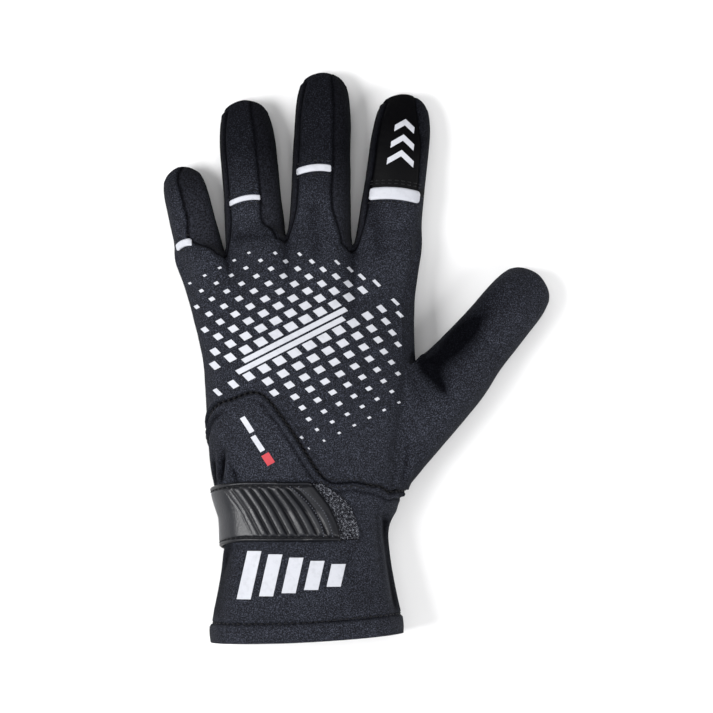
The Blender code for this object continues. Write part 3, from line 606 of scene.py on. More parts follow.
# Darts on the index finger's patch: places along the finger as shares, then sizes in metres
DART_COUNT = 3
DART_FROM = 0.60
DART_STEP = 0.10
DART_RIGHT = 0.0012
DART_ARM = 0.0062
DART_SHRINK = 0.0008
DART_SWEEP = 0.75
DART_BAND = 0.0030

# Marks beside the wrist seam: corner, sides and the step to the next, and the red one's
MARK_COUNT = 2
MARK_CORNER = (-0.0545, -0.0290)
MARK_SIDES = ((0.0022, 0.0012), (0.0046, -0.0070))
MARK_STEP = (0.0050, -0.0088)
RED_CORNER = (-0.0445, -0.0466)
RED_SIDES = ((0.0034, 0.0019), (0.0030, -0.0046))

# Elastic at the palm side of the wrist: its rows of stitches, and the fine gathers beside them
ELASTIC_ROWS = (-0.0715, -0.0740, -0.0765)
ELASTIC_FROM = -0.054
ELASTIC_TO = 0.002
FINE_GATHER_PITCH = 0.0058
FINE_GATHER_DEPTH = 0.0013
FINE_GATHER_REACH = 0.022
FINE_GATHER_ABOVE = 0.35
FINE_GATHER_CURVE = 1.5
PALM_GAIN = 2
PALM_GAIN_FROM = 0.2
ELASTIC_POINTS = 160

# Colours of cloth and pile, dark and pale
FABRIC_DARK = (0.0012, 0.0014, 0.0024)
FABRIC_MID = (0.0078, 0.0090, 0.0142)
FABRIC_PALE = (0.078, 0.086, 0.116)
# Dark colour that the painted shade mixes towards
PAINTED_SHADE_COLOUR = (0.0006, 0.0006, 0.0010)
SUEDE_DARK = (0.0012, 0.0012, 0.0020)
SUEDE_PALE = (0.012, 0.0125, 0.017)
GUSSET_TONES = ((0.0030, 0.0032, 0.0048), (0.024, 0.026, 0.036))
LINING_TONES = ((0.0030, 0.0030, 0.0042), (0.013, 0.013, 0.017))
PAD_TONES = ((0.0015, 0.0015, 0.0025), (0.014, 0.014, 0.019))
PILE_TONES = ((0.006, 0.006, 0.009), (0.42, 0.44, 0.50))

# Colours of the leather pieces, the bars, the threads and the prints
PATCH_COLOUR = (0.0012, 0.0012, 0.0018)
STRAP_COLOUR = (0.0062, 0.0070, 0.0105)
BAR_COLOUR = (0.44, 0.45, 0.49)
DARK_THREAD = (0.0030, 0.0030, 0.0045)
PALE_THREAD = (0.075, 0.080, 0.100)
PRINT_COLOUR = (0.45, 0.46, 0.50)
RED_COLOUR = (0.40, 0.028, 0.040)

# How far the painted shade in seams, creases, sides and fingers' ends takes on the dark colour, the
# share of gloss and sheen that is left under it, and the sheen's roughness
PAINTED_SHADE_STRENGTH = 0.9
PAINTED_SHADE_GLOSS = 0.1
SHEEN_ROUGHNESS = 0.45

# Slots of a colour mix: share, first and second colour, and its result
MIX_SLOTS = (0, 6, 7)
MIX_RESULT = 2


def bell(distance, width):
    """1 at no distance, and close to 0 at twice the width."""
    return np.exp(-((distance / width) ** 2))


def clamp(value):
    """Value kept between 0 and 1."""
    return min(1.0, max(0.0, value))


def at_least(low, share):
    """Share between 0 and 1, squeezed so that it runs from low to 1."""
    return low + (1 - low) * share


def unit(vectors):
    """One vector or rows of them, at a length of 1."""
    return vectors / np.maximum(np.linalg.norm(vectors, axis=-1, keepdims=True), 1e-12)


def directions(lean):
    """Directions ahead and to the right, in (x, y), at a lean in degrees."""
    turn = math.radians(lean)
    return np.array([-math.sin(turn), math.cos(turn)]), np.array([math.cos(turn), math.sin(turn)])


def path_lengths(places):
    """Length along a path of points, from 0 at the first one."""
    steps = np.linalg.norm(np.diff(places, axis=0), axis=1)
    return np.concatenate([[0.0], np.cumsum(steps)])


def as_path(found):
    """Path of points and normals, as two arrays, from pairs of a point and a normal."""
    places, normals = zip(*found)
    return np.array(places), np.array(normals)


def quad_edges(quads):
    """Edges of quads, each turned the way that its quad turns."""
    return np.concatenate([quads[:, [k, (k + 1) % 4]] for k in range(4)])


def lone_edges(quads):
    """Edges that only one of the quads has."""
    edges = quad_edges(quads)
    size = edges.max() + 1
    return edges[~np.isin(edges[:, 0] * size + edges[:, 1], edges[:, 1] * size + edges[:, 0])]


def curve(xs, ys, x):
    """Smooth curve through the points (xs, ys), read at x."""
    xs = np.asarray(xs, float)
    ys = np.asarray(ys, float)
    slopes = np.gradient(ys, xs)
    i = int(np.clip(np.searchsorted(xs, x) - 1, 0, len(xs) - 2))
    step = xs[i + 1] - xs[i]
    t = float(np.clip((x - xs[i]) / step, 0.0, 1.0))
    return (
        (2 * t**3 - 3 * t**2 + 1) * ys[i]
        + (t**3 - 2 * t**2 + t) * step * slopes[i]
        + (3 * t**2 - 2 * t**3) * ys[i + 1]
        + (t**3 - t**2) * step * slopes[i + 1]
    )


def oval(u, low, high, upper):
    """Height of an oval section at the share u of its half width, on its upper or lower side."""
    waist = low + WAIST * (high - low)
    if upper:
        return waist + (high - waist) * (1 - abs(u) ** BACK_ROUNDING) ** (1 / BACK_ROUNDING)
    return waist - (waist - low) * (1 - abs(u) ** PALM_ROUNDING) ** (1 / PALM_ROUNDING)


def hand_sections():
    """Rows of y, ulnar edge, radial edge and height, in metres, from the hem to the fingers."""
    rows = []
    for s in CUFF_SECTIONS:
        width = CUFF_WIDTH + (WRIST_WIDTH - CUFF_WIDTH) * s.narrowed
        height = CUFF_HEIGHT + (WRIST_HEIGHT - CUFF_HEIGHT) * s.narrowed
        middle = s.middle * CUFF_WIDTH
        rows.append((s.along * CUFF_LENGTH, middle - width / 2, middle + width / 2, height))
    for s in HAND_SECTIONS:
        y = CUFF_LENGTH + s.along * HAND_LENGTH
        rows.append((y, s.ulnar * PALM_WIDTH, s.radial * PALM_WIDTH, s.height * PALM_HEIGHT))
    return np.array(rows)


SECTION_ROWS = hand_sections()


def section_at(y):
    """Ulnar edge, radial edge and height of the cuff or hand at y."""
    ys = SECTION_ROWS[:, 0]
    return [float(curve(ys, SECTION_ROWS[:, k], y)) for k in (1, 2, 3)]


def trunk_point(y, u, upper):
    """Point of the cuff or hand at y, at the share u of its half width."""
    ulnar, radial, height = section_at(y)
    x = (ulnar + radial) / 2 + u * (radial - ulnar) / 2
    return np.array([x, y, oval(u, -FLOOR_PRESS, height, upper)])


def knuckle_point(i):
    """Place of knuckle i on the fingers' base line, as (x, y)."""
    k = KNUCKLES[i]
    return np.array([k.across * PALM_WIDTH, CUFF_LENGTH + k.along * HAND_LENGTH])


def base_line(shares):
    """Places (x, y) of the thirteen columns on the fingers' base line."""
    places = []
    for f in range(len(FINGERS)):
        a, b = knuckle_point(f), knuckle_point(f + 1)
        places += [a + (b - a) * s for s in (0.0, *shares)]
    return np.array([*places, knuckle_point(len(FINGERS))])


def base_shares(places):
    """Shares of the hand's half width at which the base line's columns stand."""
    ulnar, radial, _ = section_at(places[:, 1].mean())
    shares = (places[:, 0] - (ulnar + radial) / 2) / ((radial - ulnar) / 2)
    return np.clip(shares, -COLUMN_REACH, COLUMN_REACH)


def trunk_rings():
    """Rings of the cuff and hand: upper columns, thumb side, lower columns and little side."""
    back_line, palm_line = base_line(BACK_SHARES), base_line(PALM_SHARES)
    back_end, palm_end = base_shares(back_line), base_shares(palm_line)
    even = np.linspace(-COLUMN_REACH, COLUMN_REACH, BACK_COLUMNS + 1)
    last = len(RINGS)
    slant_u = [p.across for p in SEAM_SLANT]
    slant_lift = [p.lift for p in SEAM_SLANT]
    rings = []
    for r, ring in enumerate(RINGS):
        y = ring.cuff * CUFF_LENGTH + ring.hand * HAND_LENGTH
        share = max(0.0, (r - SEAM_RING) / (last - SEAM_RING))
        us = even + (back_end - even) * share
        lift = [ring.slant * HAND_LENGTH * curve(slant_u, slant_lift, u) for u in (-1, *us, 1)]
        rise = [HEM_RISE * (1 - ring.cuff) * ((u + 1) / 2) ** 2 for u in (-1, *us, 1)]
        upper = [trunk_point(y + lift[j + 1] + rise[j + 1], u, True) for j, u in enumerate(us)]
        thumb_side = trunk_point(y + lift[-1] * SIDE_LIFT + rise[-1], 1.0, True)
        little_side = trunk_point(y + lift[0] * SIDE_LIFT, -1.0, True)
        us = even + (palm_end - even) * share
        follow = [CORNER_LIFT * max(0.0, abs(u) - CORNER_FROM) / (1 - CORNER_FROM) for u in us]
        rise = [rise[j + 1] + follow[j] * lift[j + 1] for j in range(len(us))]
        lower = [trunk_point(y + rise[j], u, False) for j, u in enumerate(us)]
        rings.append([*upper, thumb_side, *lower[::-1], little_side])
    rings.append(base_ring(back_line, palm_line))
    return rings


def base_ring(back_line, palm_line):
    """Last ring of the hand, which the fingers start from."""
    upper, lower, sides = [], [], []
    for j, (x, y) in enumerate(back_line):
        inset = {0: SIDE_INSET, BACK_COLUMNS: -SIDE_INSET}.get(j, 0.0)
        height = section_at(y)[2] * (1 - KNUCKLE_ARCH * (2 * j / BACK_COLUMNS - 1) ** 2)
        dip = (FORK_DIP, 0.0, FORK_SIDE_DIP)[j % 3] if 0 < j < BACK_COLUMNS else 0.0
        z = oval(COLUMN_REACH if inset else PALM_REACH, -FLOOR_PRESS, height, True) * (1 - dip)
        drop = FORK_BACK_DROP if dip == FORK_DIP else 0.0
        upper.append(np.array([x + inset * PALM_WIDTH, y - drop, z]))
        if inset:
            sides.append(np.array([x, y, WAIST * section_at(y)[2]]))
    for j, (x, y) in enumerate(palm_line):
        inset = {0: SIDE_INSET, BACK_COLUMNS: -SIDE_INSET}.get(j, 0.0)
        fork = j in FORK_COLUMNS
        low = FORK_PALM_RISE if fork else -FLOOR_PRESS
        drop = FORK_PALM_DROP if fork else FORK_PALM_DROP / 2
        lower.append(np.array([x + inset * PALM_WIDTH, y - drop, low]))
    return [*upper, sides[1], *lower[::-1], sides[0]]


def finger_ring(centre, right, width, height, low, seam):
    """Ten points round a finger: four on the back, one side, four on the palm side, one side."""
    upper_u = (-FINGER_REACH, (seam - FINGER_REACH) / 2, seam, FINGER_REACH)
    lower_u = (FINGER_REACH, PALM_REACH, -PALM_REACH, -FINGER_REACH)
    order = [(u, True) for u in upper_u] + [(1.0, True)] + [(u, False) for u in lower_u] + [(-1.0, True)]
    points = []
    for u, upper in order:
        x, y = centre + right * (u * width / 2)
        points.append(np.array([x, y, oval(u, low, low + height, upper)]))
    return points


def finger_rings(base, lean, length, width, height, stations, widths, heights, seam):
    """Rings along one finger, and the two points at the middle of its tip."""
    ahead, right = directions(lean)
    rings = []
    for t, w, h in zip(stations, widths, heights):
        low = FINGER_ARCH * math.sin(math.pi * t) - FLOOR_PRESS
        if t == stations[-1]:
            low += TIP_RISE
        rings.append(finger_ring(base + ahead * (t * length), right, w * width, h * height, low, seam))
    tip = base + ahead * length
    tip_z = low + TIP_WAIST * heights[-1] * height
    tips = [np.array([*(tip + right * (u * TIP_SPREAD * width)), tip_z]) for u in (-1, 1)]
    return rings, tips


class Cage:
    """Quads with a panel number each, and the points that their smooth surface passes through."""

    def __init__(self):
        self.points, self.faces, self.panels = [], [], []

    def add(self, points):
        """Adds points and returns their numbers."""
        start = len(self.points)
        self.points += list(points)
        return list(range(start, len(self.points)))

    def quad(self, a, b, c, d, panel):
        self.faces.append((a, b, c, d))
        self.panels.append(panel)

    def tube(self, near, far, panel_of):
        """Faces between two rings; panel_of gives each side's panel."""
        for k in range(len(near)):
            n = (k + 1) % len(near)
            self.quad(near[k], near[n], far[n], far[k], panel_of(k))

    def drop_unused(self):
        """Leaves out the points that no face uses."""
        used = sorted({v for face in self.faces for v in face})
        number = {v: i for i, v in enumerate(used)}
        self.points = [self.points[v] for v in used]
        self.faces = [tuple(number[v] for v in face) for face in self.faces]

    def cap(self, ring, tips, panel_of):
        """Closes a finger's last ring with three quads above and three below."""
        upper = ring[0:4]
        middle = [ring[9], *tips, ring[4]]
        lower = [ring[8], ring[7], ring[6], ring[5]]
        for k in range(3):
            self.quad(upper[k], upper[k + 1], middle[k + 1], middle[k], panel_of(k))
            self.quad(middle[k], middle[k + 1], lower[k + 1], lower[k], PALM)


def finger_panel(f, row, side):
    """Panel of a face of finger f, in a row of the cage and on one of its ten sides."""
    bar_row = FINGERS[f].bar + 1
    beyond = row >= bar_row
    if side in PALM_SIDES:
        return PALM
    if side in LITTLE_SIDES:
        if f:
            return FIRST_GUSSET + f - 1
        return FIRST_TIP if beyond else BACK
    if side >= FIRST_THUMB_SIDE and FINGERS[f].name != "index":
        return FIRST_GUSSET + f
    return FIRST_TIP + f if beyond else BACK


def thumb_panel(side):
    return PALM if side in PALM_SIDES else BACK


def trunk_panel(row, column):
    """Panel of a face of the cuff or hand."""
    first_lower = BACK_COLUMNS + 2
    lower = first_lower <= column < first_lower + BACK_COLUMNS
    if row < SEAM_RING:
        return PALM if lower and column >= first_lower + CUFF_FABRIC_COLUMNS else CUFF
    return PALM if lower else BACK


def build_cage():
    """The whole glove's cage: cuff and hand, four fingers and the thumb."""
    cage = Cage()
    trunk = [cage.add(ring) for ring in trunk_rings()]
    around = len(trunk[0])
    thumb_side = BACK_COLUMNS + 1
    for r in range(len(trunk) - 1):
        for c in range(around):
            in_thumb = SEAM_RING <= r < THUMB_TOP_RING and c in (thumb_side - 1, thumb_side)
            if not in_thumb:
                n = (c + 1) % around
                cage.quad(trunk[r][c], trunk[r][n], trunk[r + 1][n], trunk[r + 1][c], trunk_panel(r, c))
    top = trunk[-1]
    forks = []
    for j in FORK_COLUMNS:
        upper = cage.points[top[j]]
        lower = cage.points[top[around - 2 - j]]
        middle = (upper + lower) / 2
        middle[1] = upper[1] + FORK_BACK_DROP
        forks += cage.add([middle])
    sides = [top[around - 1], *forks, top[thumb_side]]
    for f, finger in enumerate(FINGERS):
        a, b = knuckle_point(f), knuckle_point(f + 1)
        rings, tips = finger_rings(
            (a + b) / 2, finger.lean, finger.length * FINGER_LENGTH, finger.width * FINGER_WIDTH,
            finger.height * FINGER_HEIGHT, finger.rings, RING_WIDTHS, RING_HEIGHTS, finger.seam,
        )
        upper = [top[3 * f + k] for k in range(4)]
        lower = [top[around - 2 - 3 * f - k] for k in range(3, -1, -1)]
        near = [*upper, sides[f + 1], *lower, sides[f]]
        for row, ring in enumerate(rings):
            far = cage.add(ring)
            cage.tube(near, far, lambda k, row=row: finger_panel(f, row, k))
            near = far
        cage.cap(near, cage.add(tips), lambda k: finger_panel(f, len(rings), k))
    add_thumb(cage, trunk, thumb_side)
    cage.drop_unused()
    return cage


def add_thumb(cage, trunk, thumb_side):
    """Joins the thumb to the opening that the hand's thumb side leaves for it."""
    rows = range(THUMB_TOP_RING, SEAM_RING - 1, -1)
    upper = [trunk[r][thumb_side - 1] for r in rows]
    lower = [trunk[r][thumb_side + 1] for r in reversed(rows)]
    near = [*upper, trunk[SEAM_RING][thumb_side], *lower, trunk[THUMB_TOP_RING][thumb_side]]
    base = np.array([THUMB_ACROSS * PALM_WIDTH, CUFF_LENGTH + THUMB_ALONG * HAND_LENGTH])
    rings, tips = finger_rings(
        base, THUMB_LEAN, THUMB_LENGTH, THUMB_WIDTH, THUMB_HEIGHT, THUMB_RINGS, THUMB_WIDTHS,
        THUMB_HEIGHTS, THUMB_SEAM,
    )
    root = [
        cage.points[near[k]] * (1 - THUMB_ROOT) + rings[0][k] * THUMB_ROOT
        for k in range(FINGER_SIDES)
    ]
    for ring in (root, *rings):
        far = cage.add(ring)
        cage.tube(near, far, thumb_panel)
        near = far
    cage.cap(near, cage.add(tips), lambda k: BACK)


def fit_cage(points, faces, passes=14):
    """Moves a cage's points until its Catmull-Clark limit surface passes through the given ones."""
    target = np.array(points)
    near = [set() for _ in target]
    across = [[] for _ in target]
    uses = {}
    for face in faces:
        for k, v in enumerate(face):
            before, after, opposite = face[k - 1], face[(k + 1) % 4], face[(k + 2) % 4]
            near[v] |= {before, after}
            across[v].append(opposite)
            uses[frozenset((v, after))] = uses.get(frozenset((v, after)), 0) + 1
    rim = {}
    for edge, count in uses.items():
        if count == 1:
            a, b = tuple(edge)
            rim.setdefault(a, []).append(b)
            rim.setdefault(b, []).append(a)
    cage = target.copy()
    for _ in range(passes):
        limit = np.empty_like(cage)
        for v in range(len(cage)):
            if v in rim:
                limit[v] = (4 * cage[v] + cage[rim[v]].sum(0)) / 6
            else:
                n = len(near[v])
                edges = cage[list(near[v])].sum(0)
                diagonals = cage[across[v]].sum(0)
                limit[v] = (n * n * cage[v] + 4 * edges + diagonals) / (n * (n + 5))
        cage += target - limit
    return cage


def new_object(name, vertices, faces):
    """Object with a mesh of its own, linked to the scene."""
    mesh = bpy.data.meshes.new(name)
    mesh.from_pydata([tuple(v) for v in vertices], [], [tuple(f) for f in faces])
    mesh.update()
    made = bpy.data.objects.new(name, mesh)
    bpy.context.scene.collection.objects.link(made)
    return made


def subdivide(cage_points, faces, panels, levels):
    """Points, quads and panel numbers of the cage's smooth surface."""
    cage = new_object("skin_cage", cage_points, faces)
    for polygon, panel in zip(cage.data.polygons, panels):
        polygon.material_index = panel
    for name in PANELS:
        cage.data.materials.append(bpy.data.materials.new("cage_" + name))
    smooth = cage.modifiers.new("smooth", "SUBSURF")
    smooth.levels = levels
    smooth.render_levels = levels
    bpy.context.view_layer.update()
    done = cage.evaluated_get(bpy.context.evaluated_depsgraph_get()).to_mesh()
    points = np.array([v.co for v in done.vertices], float)
    quads = np.array([tuple(p.vertices) for p in done.polygons])
    numbers = np.array([p.material_index for p in done.polygons])
    for material in list(cage.data.materials):
        bpy.data.materials.remove(material)
    bpy.data.objects.remove(cage)
    return points, quads, numbers


def vertex_normals(points, quads):
    """Unit normals of a quad mesh, weighted by face area."""
    a, b, c, d = (points[quads[:, k]] for k in range(4))
    face = np.cross(c - a, d - b)
    normals = np.zeros_like(points)
    for k in range(4):
        np.add.at(normals, quads[:, k], face)
    return unit(normals)


def smoothed(normals, quads, passes=3):
    """Normals evened out over their neighbours, so that a wall set off along them stays whole."""
    edges = quad_edges(quads)
    for _ in range(passes):
        total = normals * 2
        np.add.at(total, edges[:, 0], normals[edges[:, 1]] / 2)
        np.add.at(total, edges[:, 1], normals[edges[:, 0]] / 2)
        normals = unit(total)
    return normals


class Wrist:
    """Reads the skin round the wrist by arc length, from the little finger's side over the back."""

    def __init__(self, tree, y, middle):
        self.tree, self.y, self.middle = tree, y, middle
        self.centre = np.array([-middle[0], WRIST_AXIS * WRIST_HEIGHT])
        self.angles = np.radians(np.linspace(STRAP_START, STRAP_LIMIT, STRAP_READINGS))
        spots = np.array([self.hit(a, y)[0] for a in self.angles])
        self.lengths = path_lengths(spots)

    def hit(self, angle, y):
        """Point and normal of the skin at an angle round the wrist's axis."""
        out = np.array([math.cos(angle), 0.0, math.sin(angle)])
        start = np.array([self.centre[0], y, self.centre[1]]) + out * READING_START
        place, normal, _, _ = self.tree.ray_cast(Vector(start), Vector(-out))
        return np.array(place), np.array(normal)

    def read(self, length, y):
        """Point and normal at a length round the wrist."""
        return self.hit(float(np.interp(length, self.lengths, self.angles)), y)


def strap_y(v, length):
    """Place along the hand of the share v of the strap's width; its anchored end sits lower."""
    droop = STRAP_DROOP * max(0.0, 1 - length / STRAP_DROOP_REACH) ** STRAP_DROOP_CURVE
    return CUFF_LENGTH - STRAP_DROP + v * STRAP_WIDTH - droop


def pad_lift(length):
    """How far the strap rises to pass over the loop pad."""
    start = STRAP_LENGTH - PAD_TUCK - PAD_RAMP_START
    return (PAD_WALL + SURFACE_GAP) * float(np.clip((length - start) / PAD_RAMP, 0.0, 1.0))


def pad_place(v, share):
    """Length round the wrist of the pad at the share v of its width and a share of its reach."""
    start = STRAP_LENGTH - PAD_TUCK - STRAP_END_SLANT * v * STRAP_WIDTH
    round_share = max(0.0, (v - PAD_CORNER_FROM) / (1 - PAD_CORNER_FROM))
    corner = PAD_CORNER * round_share**PAD_CORNER_CURVE
    end = STRAP_LENGTH + PAD_REACH - corner
    return start + (end - start) * share


def line_field(xy, a, b):
    """Share along the line from a to b, and distance from it, of each point."""
    a, b = np.array(a), np.array(b)
    share = np.clip((xy - a) @ (b - a) / np.dot(b - a, b - a), 0.0, 1.0)
    return share, np.linalg.norm(xy - (a + share[:, None] * (b - a)), axis=1)


def dents(points):
    """How far the dents in the back sink the skin at each point."""
    depth = np.zeros(len(points))
    for d in DENTS:
        a = (d.x0 * PALM_WIDTH, CUFF_LENGTH + d.y0 * HAND_LENGTH)
        b = (d.x1 * PALM_WIDTH, CUFF_LENGTH + d.y1 * HAND_LENGTH)
        t, off = line_field(points[:, :2], a, b)
        depth += d.depth * bell(off, d.spread) * (1 - DENT_FADE * t * t)
    return depth


def gathers(points):
    """How far the elastic's gathers lift the palm side between its folds."""
    start = CUFF_LENGTH + GATHER_AT * HAND_LENGTH
    below = (start - points[:, 1]) / GATHER_LENGTH
    above = bell(below, GATHER_ABOVE)
    fade = np.where(below < 0, above, np.clip(1 - below, 0.0, 1.0) ** GATHER_FADE)
    across = points[:, 0] / WRIST_WIDTH * (1 - GATHER_FAN * np.clip(below, 0.0, 1.0))
    folds = 0.5 - 0.5 * np.cos(2 * np.pi * GATHER_FOLDS * across)
    side = np.clip(1 - (2 * np.abs(across) / GATHER_WIDTH) ** GATHER_EDGE, 0.0, 1.0)
    return GATHER_DEPTH * fade * folds * side


def build_skin(levels):
    """Outer skin before its fine detail: points, quads, panel numbers and normals."""
    cage = build_cage()
    fitted = fit_cage(cage.points, cage.faces)
    points, quads, numbers = subdivide(fitted, cage.faces, cage.panels, levels)
    normals = vertex_normals(points, quads)
    back = normals[:, 2] > BACK_FACING
    sunk = (dents(points) * normals[:, 2])[:, None] * normals
    points = points - np.where(back[:, None], sunk, 0.0)
    points[:, 2] += np.where(normals[:, 2] < PALM_FACING, gathers(points), 0.0)
    points[:, 2] = np.maximum(points[:, 2], 0.0)
    middle = (points.min(0) + points.max(0)) / 2
    points[:, :2] -= middle[:2]
    return points, quads, numbers, vertex_normals(points, quads), middle[:2]


def seam_chains(quads, numbers):
    """Runs of vertex numbers along the seams, by the two panels that meet there."""
    edges = np.sort(quad_edges(quads), axis=1)
    owner = np.tile(numbers, 4)
    order = np.lexsort((edges[:, 1], edges[:, 0]))
    edges, owner = edges[order], owner[order]
    crossing = (edges[1:] == edges[:-1]).all(1) & (owner[1:] != owner[:-1])
    links = {}
    for (a, b), p, q in zip(edges[:-1][crossing], owner[:-1][crossing], owner[1:][crossing]):
        near = links.setdefault((min(p, q), max(p, q)), {})
        near.setdefault(a, []).append(b)
        near.setdefault(b, []).append(a)
    chains = []
    for pair in sorted(links):
        near = links[pair]
        left = set(near)
        starts = sorted(v for v in near if len(near[v]) != 2) + sorted(near)
        for start in starts:
            if start not in left:
                continue
            chain = [start]
            left.discard(start)
            ahead = [v for v in near[start] if v in left]
            while ahead:
                chain.append(ahead[0])
                left.discard(ahead[0])
                ahead = [v for v in near[chain[-1]] if v in left]
            if len(chain) >= SHORTEST_SEAM:
                chains.append((pair, chain))
    return chains


def seam_look(pair):
    """Groove, ridges, puckers and dark line of the seam between two panels."""
    if pair == (BACK, CUFF):
        return WRIST_SEAM
    if PALM in pair:
        return PALM_SEAM
    if pair[0] == BACK and pair[1] >= FIRST_TIP:
        return BAR_SEAM
    return FINGER_SEAM


def seam_field(points, chains):
    """Each point's distance from the nearest seam, the length along it and its look."""
    tree = KDTree(sum(len(chain) for _, chain in chains))
    facts = []
    for pair, chain in chains:
        for v, length in zip(chain, path_lengths(points[chain])):
            tree.insert(points[v], len(facts))
            facts.append((length, *seam_look(pair)))
    tree.balance()
    found = [tree.find(p) for p in points]
    facts = np.array([facts[f[1]] for f in found])
    return np.array([f[2] for f in found]), facts[:, 0], SeamLook(*facts[:, 1:].T)


def waves(points, kind):
    """Smooth noise from -1 to 1 at each point."""
    shift = Vector([kind.seed * step for step in NOISE_STEPS])
    return np.array([noise.noise(Vector(p) / kind.size + shift) for p in points])


def strap_cover(points):
    """1 under the strap and its pad, 0 away from them."""
    x, y, z = points.T
    bottom = CUFF_LENGTH - STRAP_DROP - middle[1]
    top = bottom + STRAP_WIDTH
    insides = (y - bottom + COVER_BELOW, top - y, WRIST_WIDTH * COVER_RIGHT - x)
    soft = [np.clip(inside / COVER_SOFT + 1, 0, 1) for inside in insides]
    return soft[0] * soft[1] * soft[2] * (z > COVER_FROM)


def hem_distance(points):
    """How far each point is above the hem's line of stitches."""
    rise = HEM_RISE * np.clip((points[:, 0] - HEM_LEFT) / HEM_SPAN, 0, 1) ** 2
    return points[:, 1] - points[:, 1].min() - rise - HEM_DEPTH


def wrist_gathers(points, normals):
    """How far the fine gathers at the elastic sink the palm side."""
    below = (ELASTIC_ROWS[0] - points[:, 1]) / FINE_GATHER_REACH
    fade = bell(below, np.where(below < 0, FINE_GATHER_ABOVE, 1.0))
    drift = GATHER_SHIFT * waves(points, GATHER_DRIFT)
    folds = 0.5 - 0.5 * np.cos(2 * np.pi * points[:, 0] / FINE_GATHER_PITCH + drift)
    facing = np.clip(-normals[:, 2] * PALM_GAIN - PALM_GAIN_FROM, 0, 1)
    return FINE_GATHER_DEPTH * facing * fade * folds**FINE_GATHER_CURVE


def strip_distance(points):
    """How far each point lies past the edge of the index finger's strip."""
    edge = np.interp(points[:, 1], [s.y for s in TIP_STRIP], [s.x for s in TIP_STRIP])
    return np.where(points[:, 1] > TIP_STRIP[0].y, points[:, 0] - edge, -1.0)


def seam_detail(points, chains, on_cuff):
    """Seams: how far grooves, ridges and puckers move each point out, and their painted shade."""
    away, along, look = seam_field(points, chains)
    loose = bell(away, PUCKER_REACH) * (1 - bell(away, PUCKER_START))
    phase = 2 * np.pi * along / PUCKER_PITCH + PUCKER_SHIFT * waves(points, PUCKER_DRIFT)
    size = look.pucker * loose * (PUCKER_SHARE + PUCKER_CHANGE * waves(points, PUCKER_VARIETY))
    heights = PUCKER_HEIGHT * size * np.sin(phase)
    heights += look.ridge * bell(away - SEAM_RIDGE_AT, SEAM_RIDGE_WIDTH)
    heights -= look.groove * bell(away, GROOVE_WIDTH)
    by_wrist = on_cuff & (look.groove > FINGER_SEAM.groove)
    row = by_wrist * bell(away - SECOND_ROW_AT, SECOND_ROW_WIDTH)
    # Painted shade in the seam's groove and in the second row's
    shade = look.shade * bell(away, SHADE_WIDTH) + SECOND_ROW_SHADE * row
    return heights - SECOND_ROW_DEPTH * row, shade


def fold_detail(points, normals):
    """Creases, shade patches and the strip's seam: how far they sink each point, and its painted shade.
    """
    sunk, shade = np.zeros(len(points)), np.zeros(len(points))
    for c in CREASES:
        t, off = line_field(points[:, :2], (c.x0, c.y0), (c.x1, c.y1))
        facing = np.clip(normals[:, 2] * (1 if c.back else -1) * FACING_GAIN, 0, 1)
        fade = np.sin(np.pi * np.clip(CREASE_START + CREASE_SPAN * t, 0, 1)) ** CREASE_FADE
        sunk += facing * fade * c.depth * bell(off, c.spread)
        # Painted shade along the crease
        dark = CREASE_SHADE * max(0.0, c.depth) * bell(off, CREASE_SHADE_SPREAD * c.spread)
        shade += facing * fade * dark
    # Patches of painted shade, with no dent under them
    for h in SHADE_PATCHES:
        _, off = line_field(points[:, :2], (h.x0, h.y0), (h.x1, h.y1))
        shade += h.shade * np.clip(normals[:, 2] * FACING_GAIN, 0, 1) * bell(off, h.spread)
    strip = bell(strip_distance(points), STRIP_GROOVE_WIDTH)
    return sunk + STRIP_GROOVE * strip, shade + STRIP_SHADE * strip


def hem_detail(points):
    """Hem: how far its fold, groove and ripple move each point out, and the painted shade in its groove.
    """
    past = hem_distance(points)
    fold = 1 / (1 + np.exp(np.clip(past / HEM_LIFT_EDGE, -STEP_LIMIT, STEP_LIMIT)))
    drift = HEM_SHIFT * waves(points, HEM_DRIFT)
    ripple = np.sin(2 * np.pi * points[:, 0] / HEM_RIPPLE_PITCH + drift)
    heights = HEM_LIFT * fold - HEM_GROOVE * bell(past, HEM_GROOVE_WIDTH)
    heights += HEM_RIPPLE * ripple * bell(past, HEM_RIPPLE_REACH)
    return heights, HEM_SHADE * bell(past, HEM_SHADE_WIDTH)


def skin_detail(points, normals, chains, on_cuff):
    """How far each point moves out for seams, folds, the hem and slack, and its painted shade."""
    heights, painted_shade = seam_detail(points, chains, on_cuff)
    sunk, fold_shade = fold_detail(points, normals)
    hem, hem_shade = hem_detail(points)
    broad, small = waves(points, BROAD_WAVES), waves(points, SMALL_WAVES)
    heights += WAVE_HEIGHT * (BROAD_SHARE * broad + (1 - BROAD_SHARE) * small)
    heights += hem - sunk - wrist_gathers(points, normals)
    covered = strap_cover(points)
    # Painted shade: lines in the seams, creases and hem, then the fingers' ends and the sides
    lines = np.clip(painted_shade + fold_shade + hem_shade, 0, 1)
    # Painted shade that grows towards the fingers' ends
    ends = FINGER_SHADE * np.clip((points[:, 1] - FINGER_SHADE_FROM) / FINGER_SHADE_OVER, 0, 1)
    # Painted shade on the sides, as if lit from above
    sides = SIDE_SHADE * np.clip(1 - np.abs(normals[:, 2]), 0, 1) ** SIDE_SHADE_CURVE
    shade = 1 - (1 - lines) * (1 - ends) * (1 - sides)
    return heights * (1 - covered) - COVER_PRESS * covered, shade


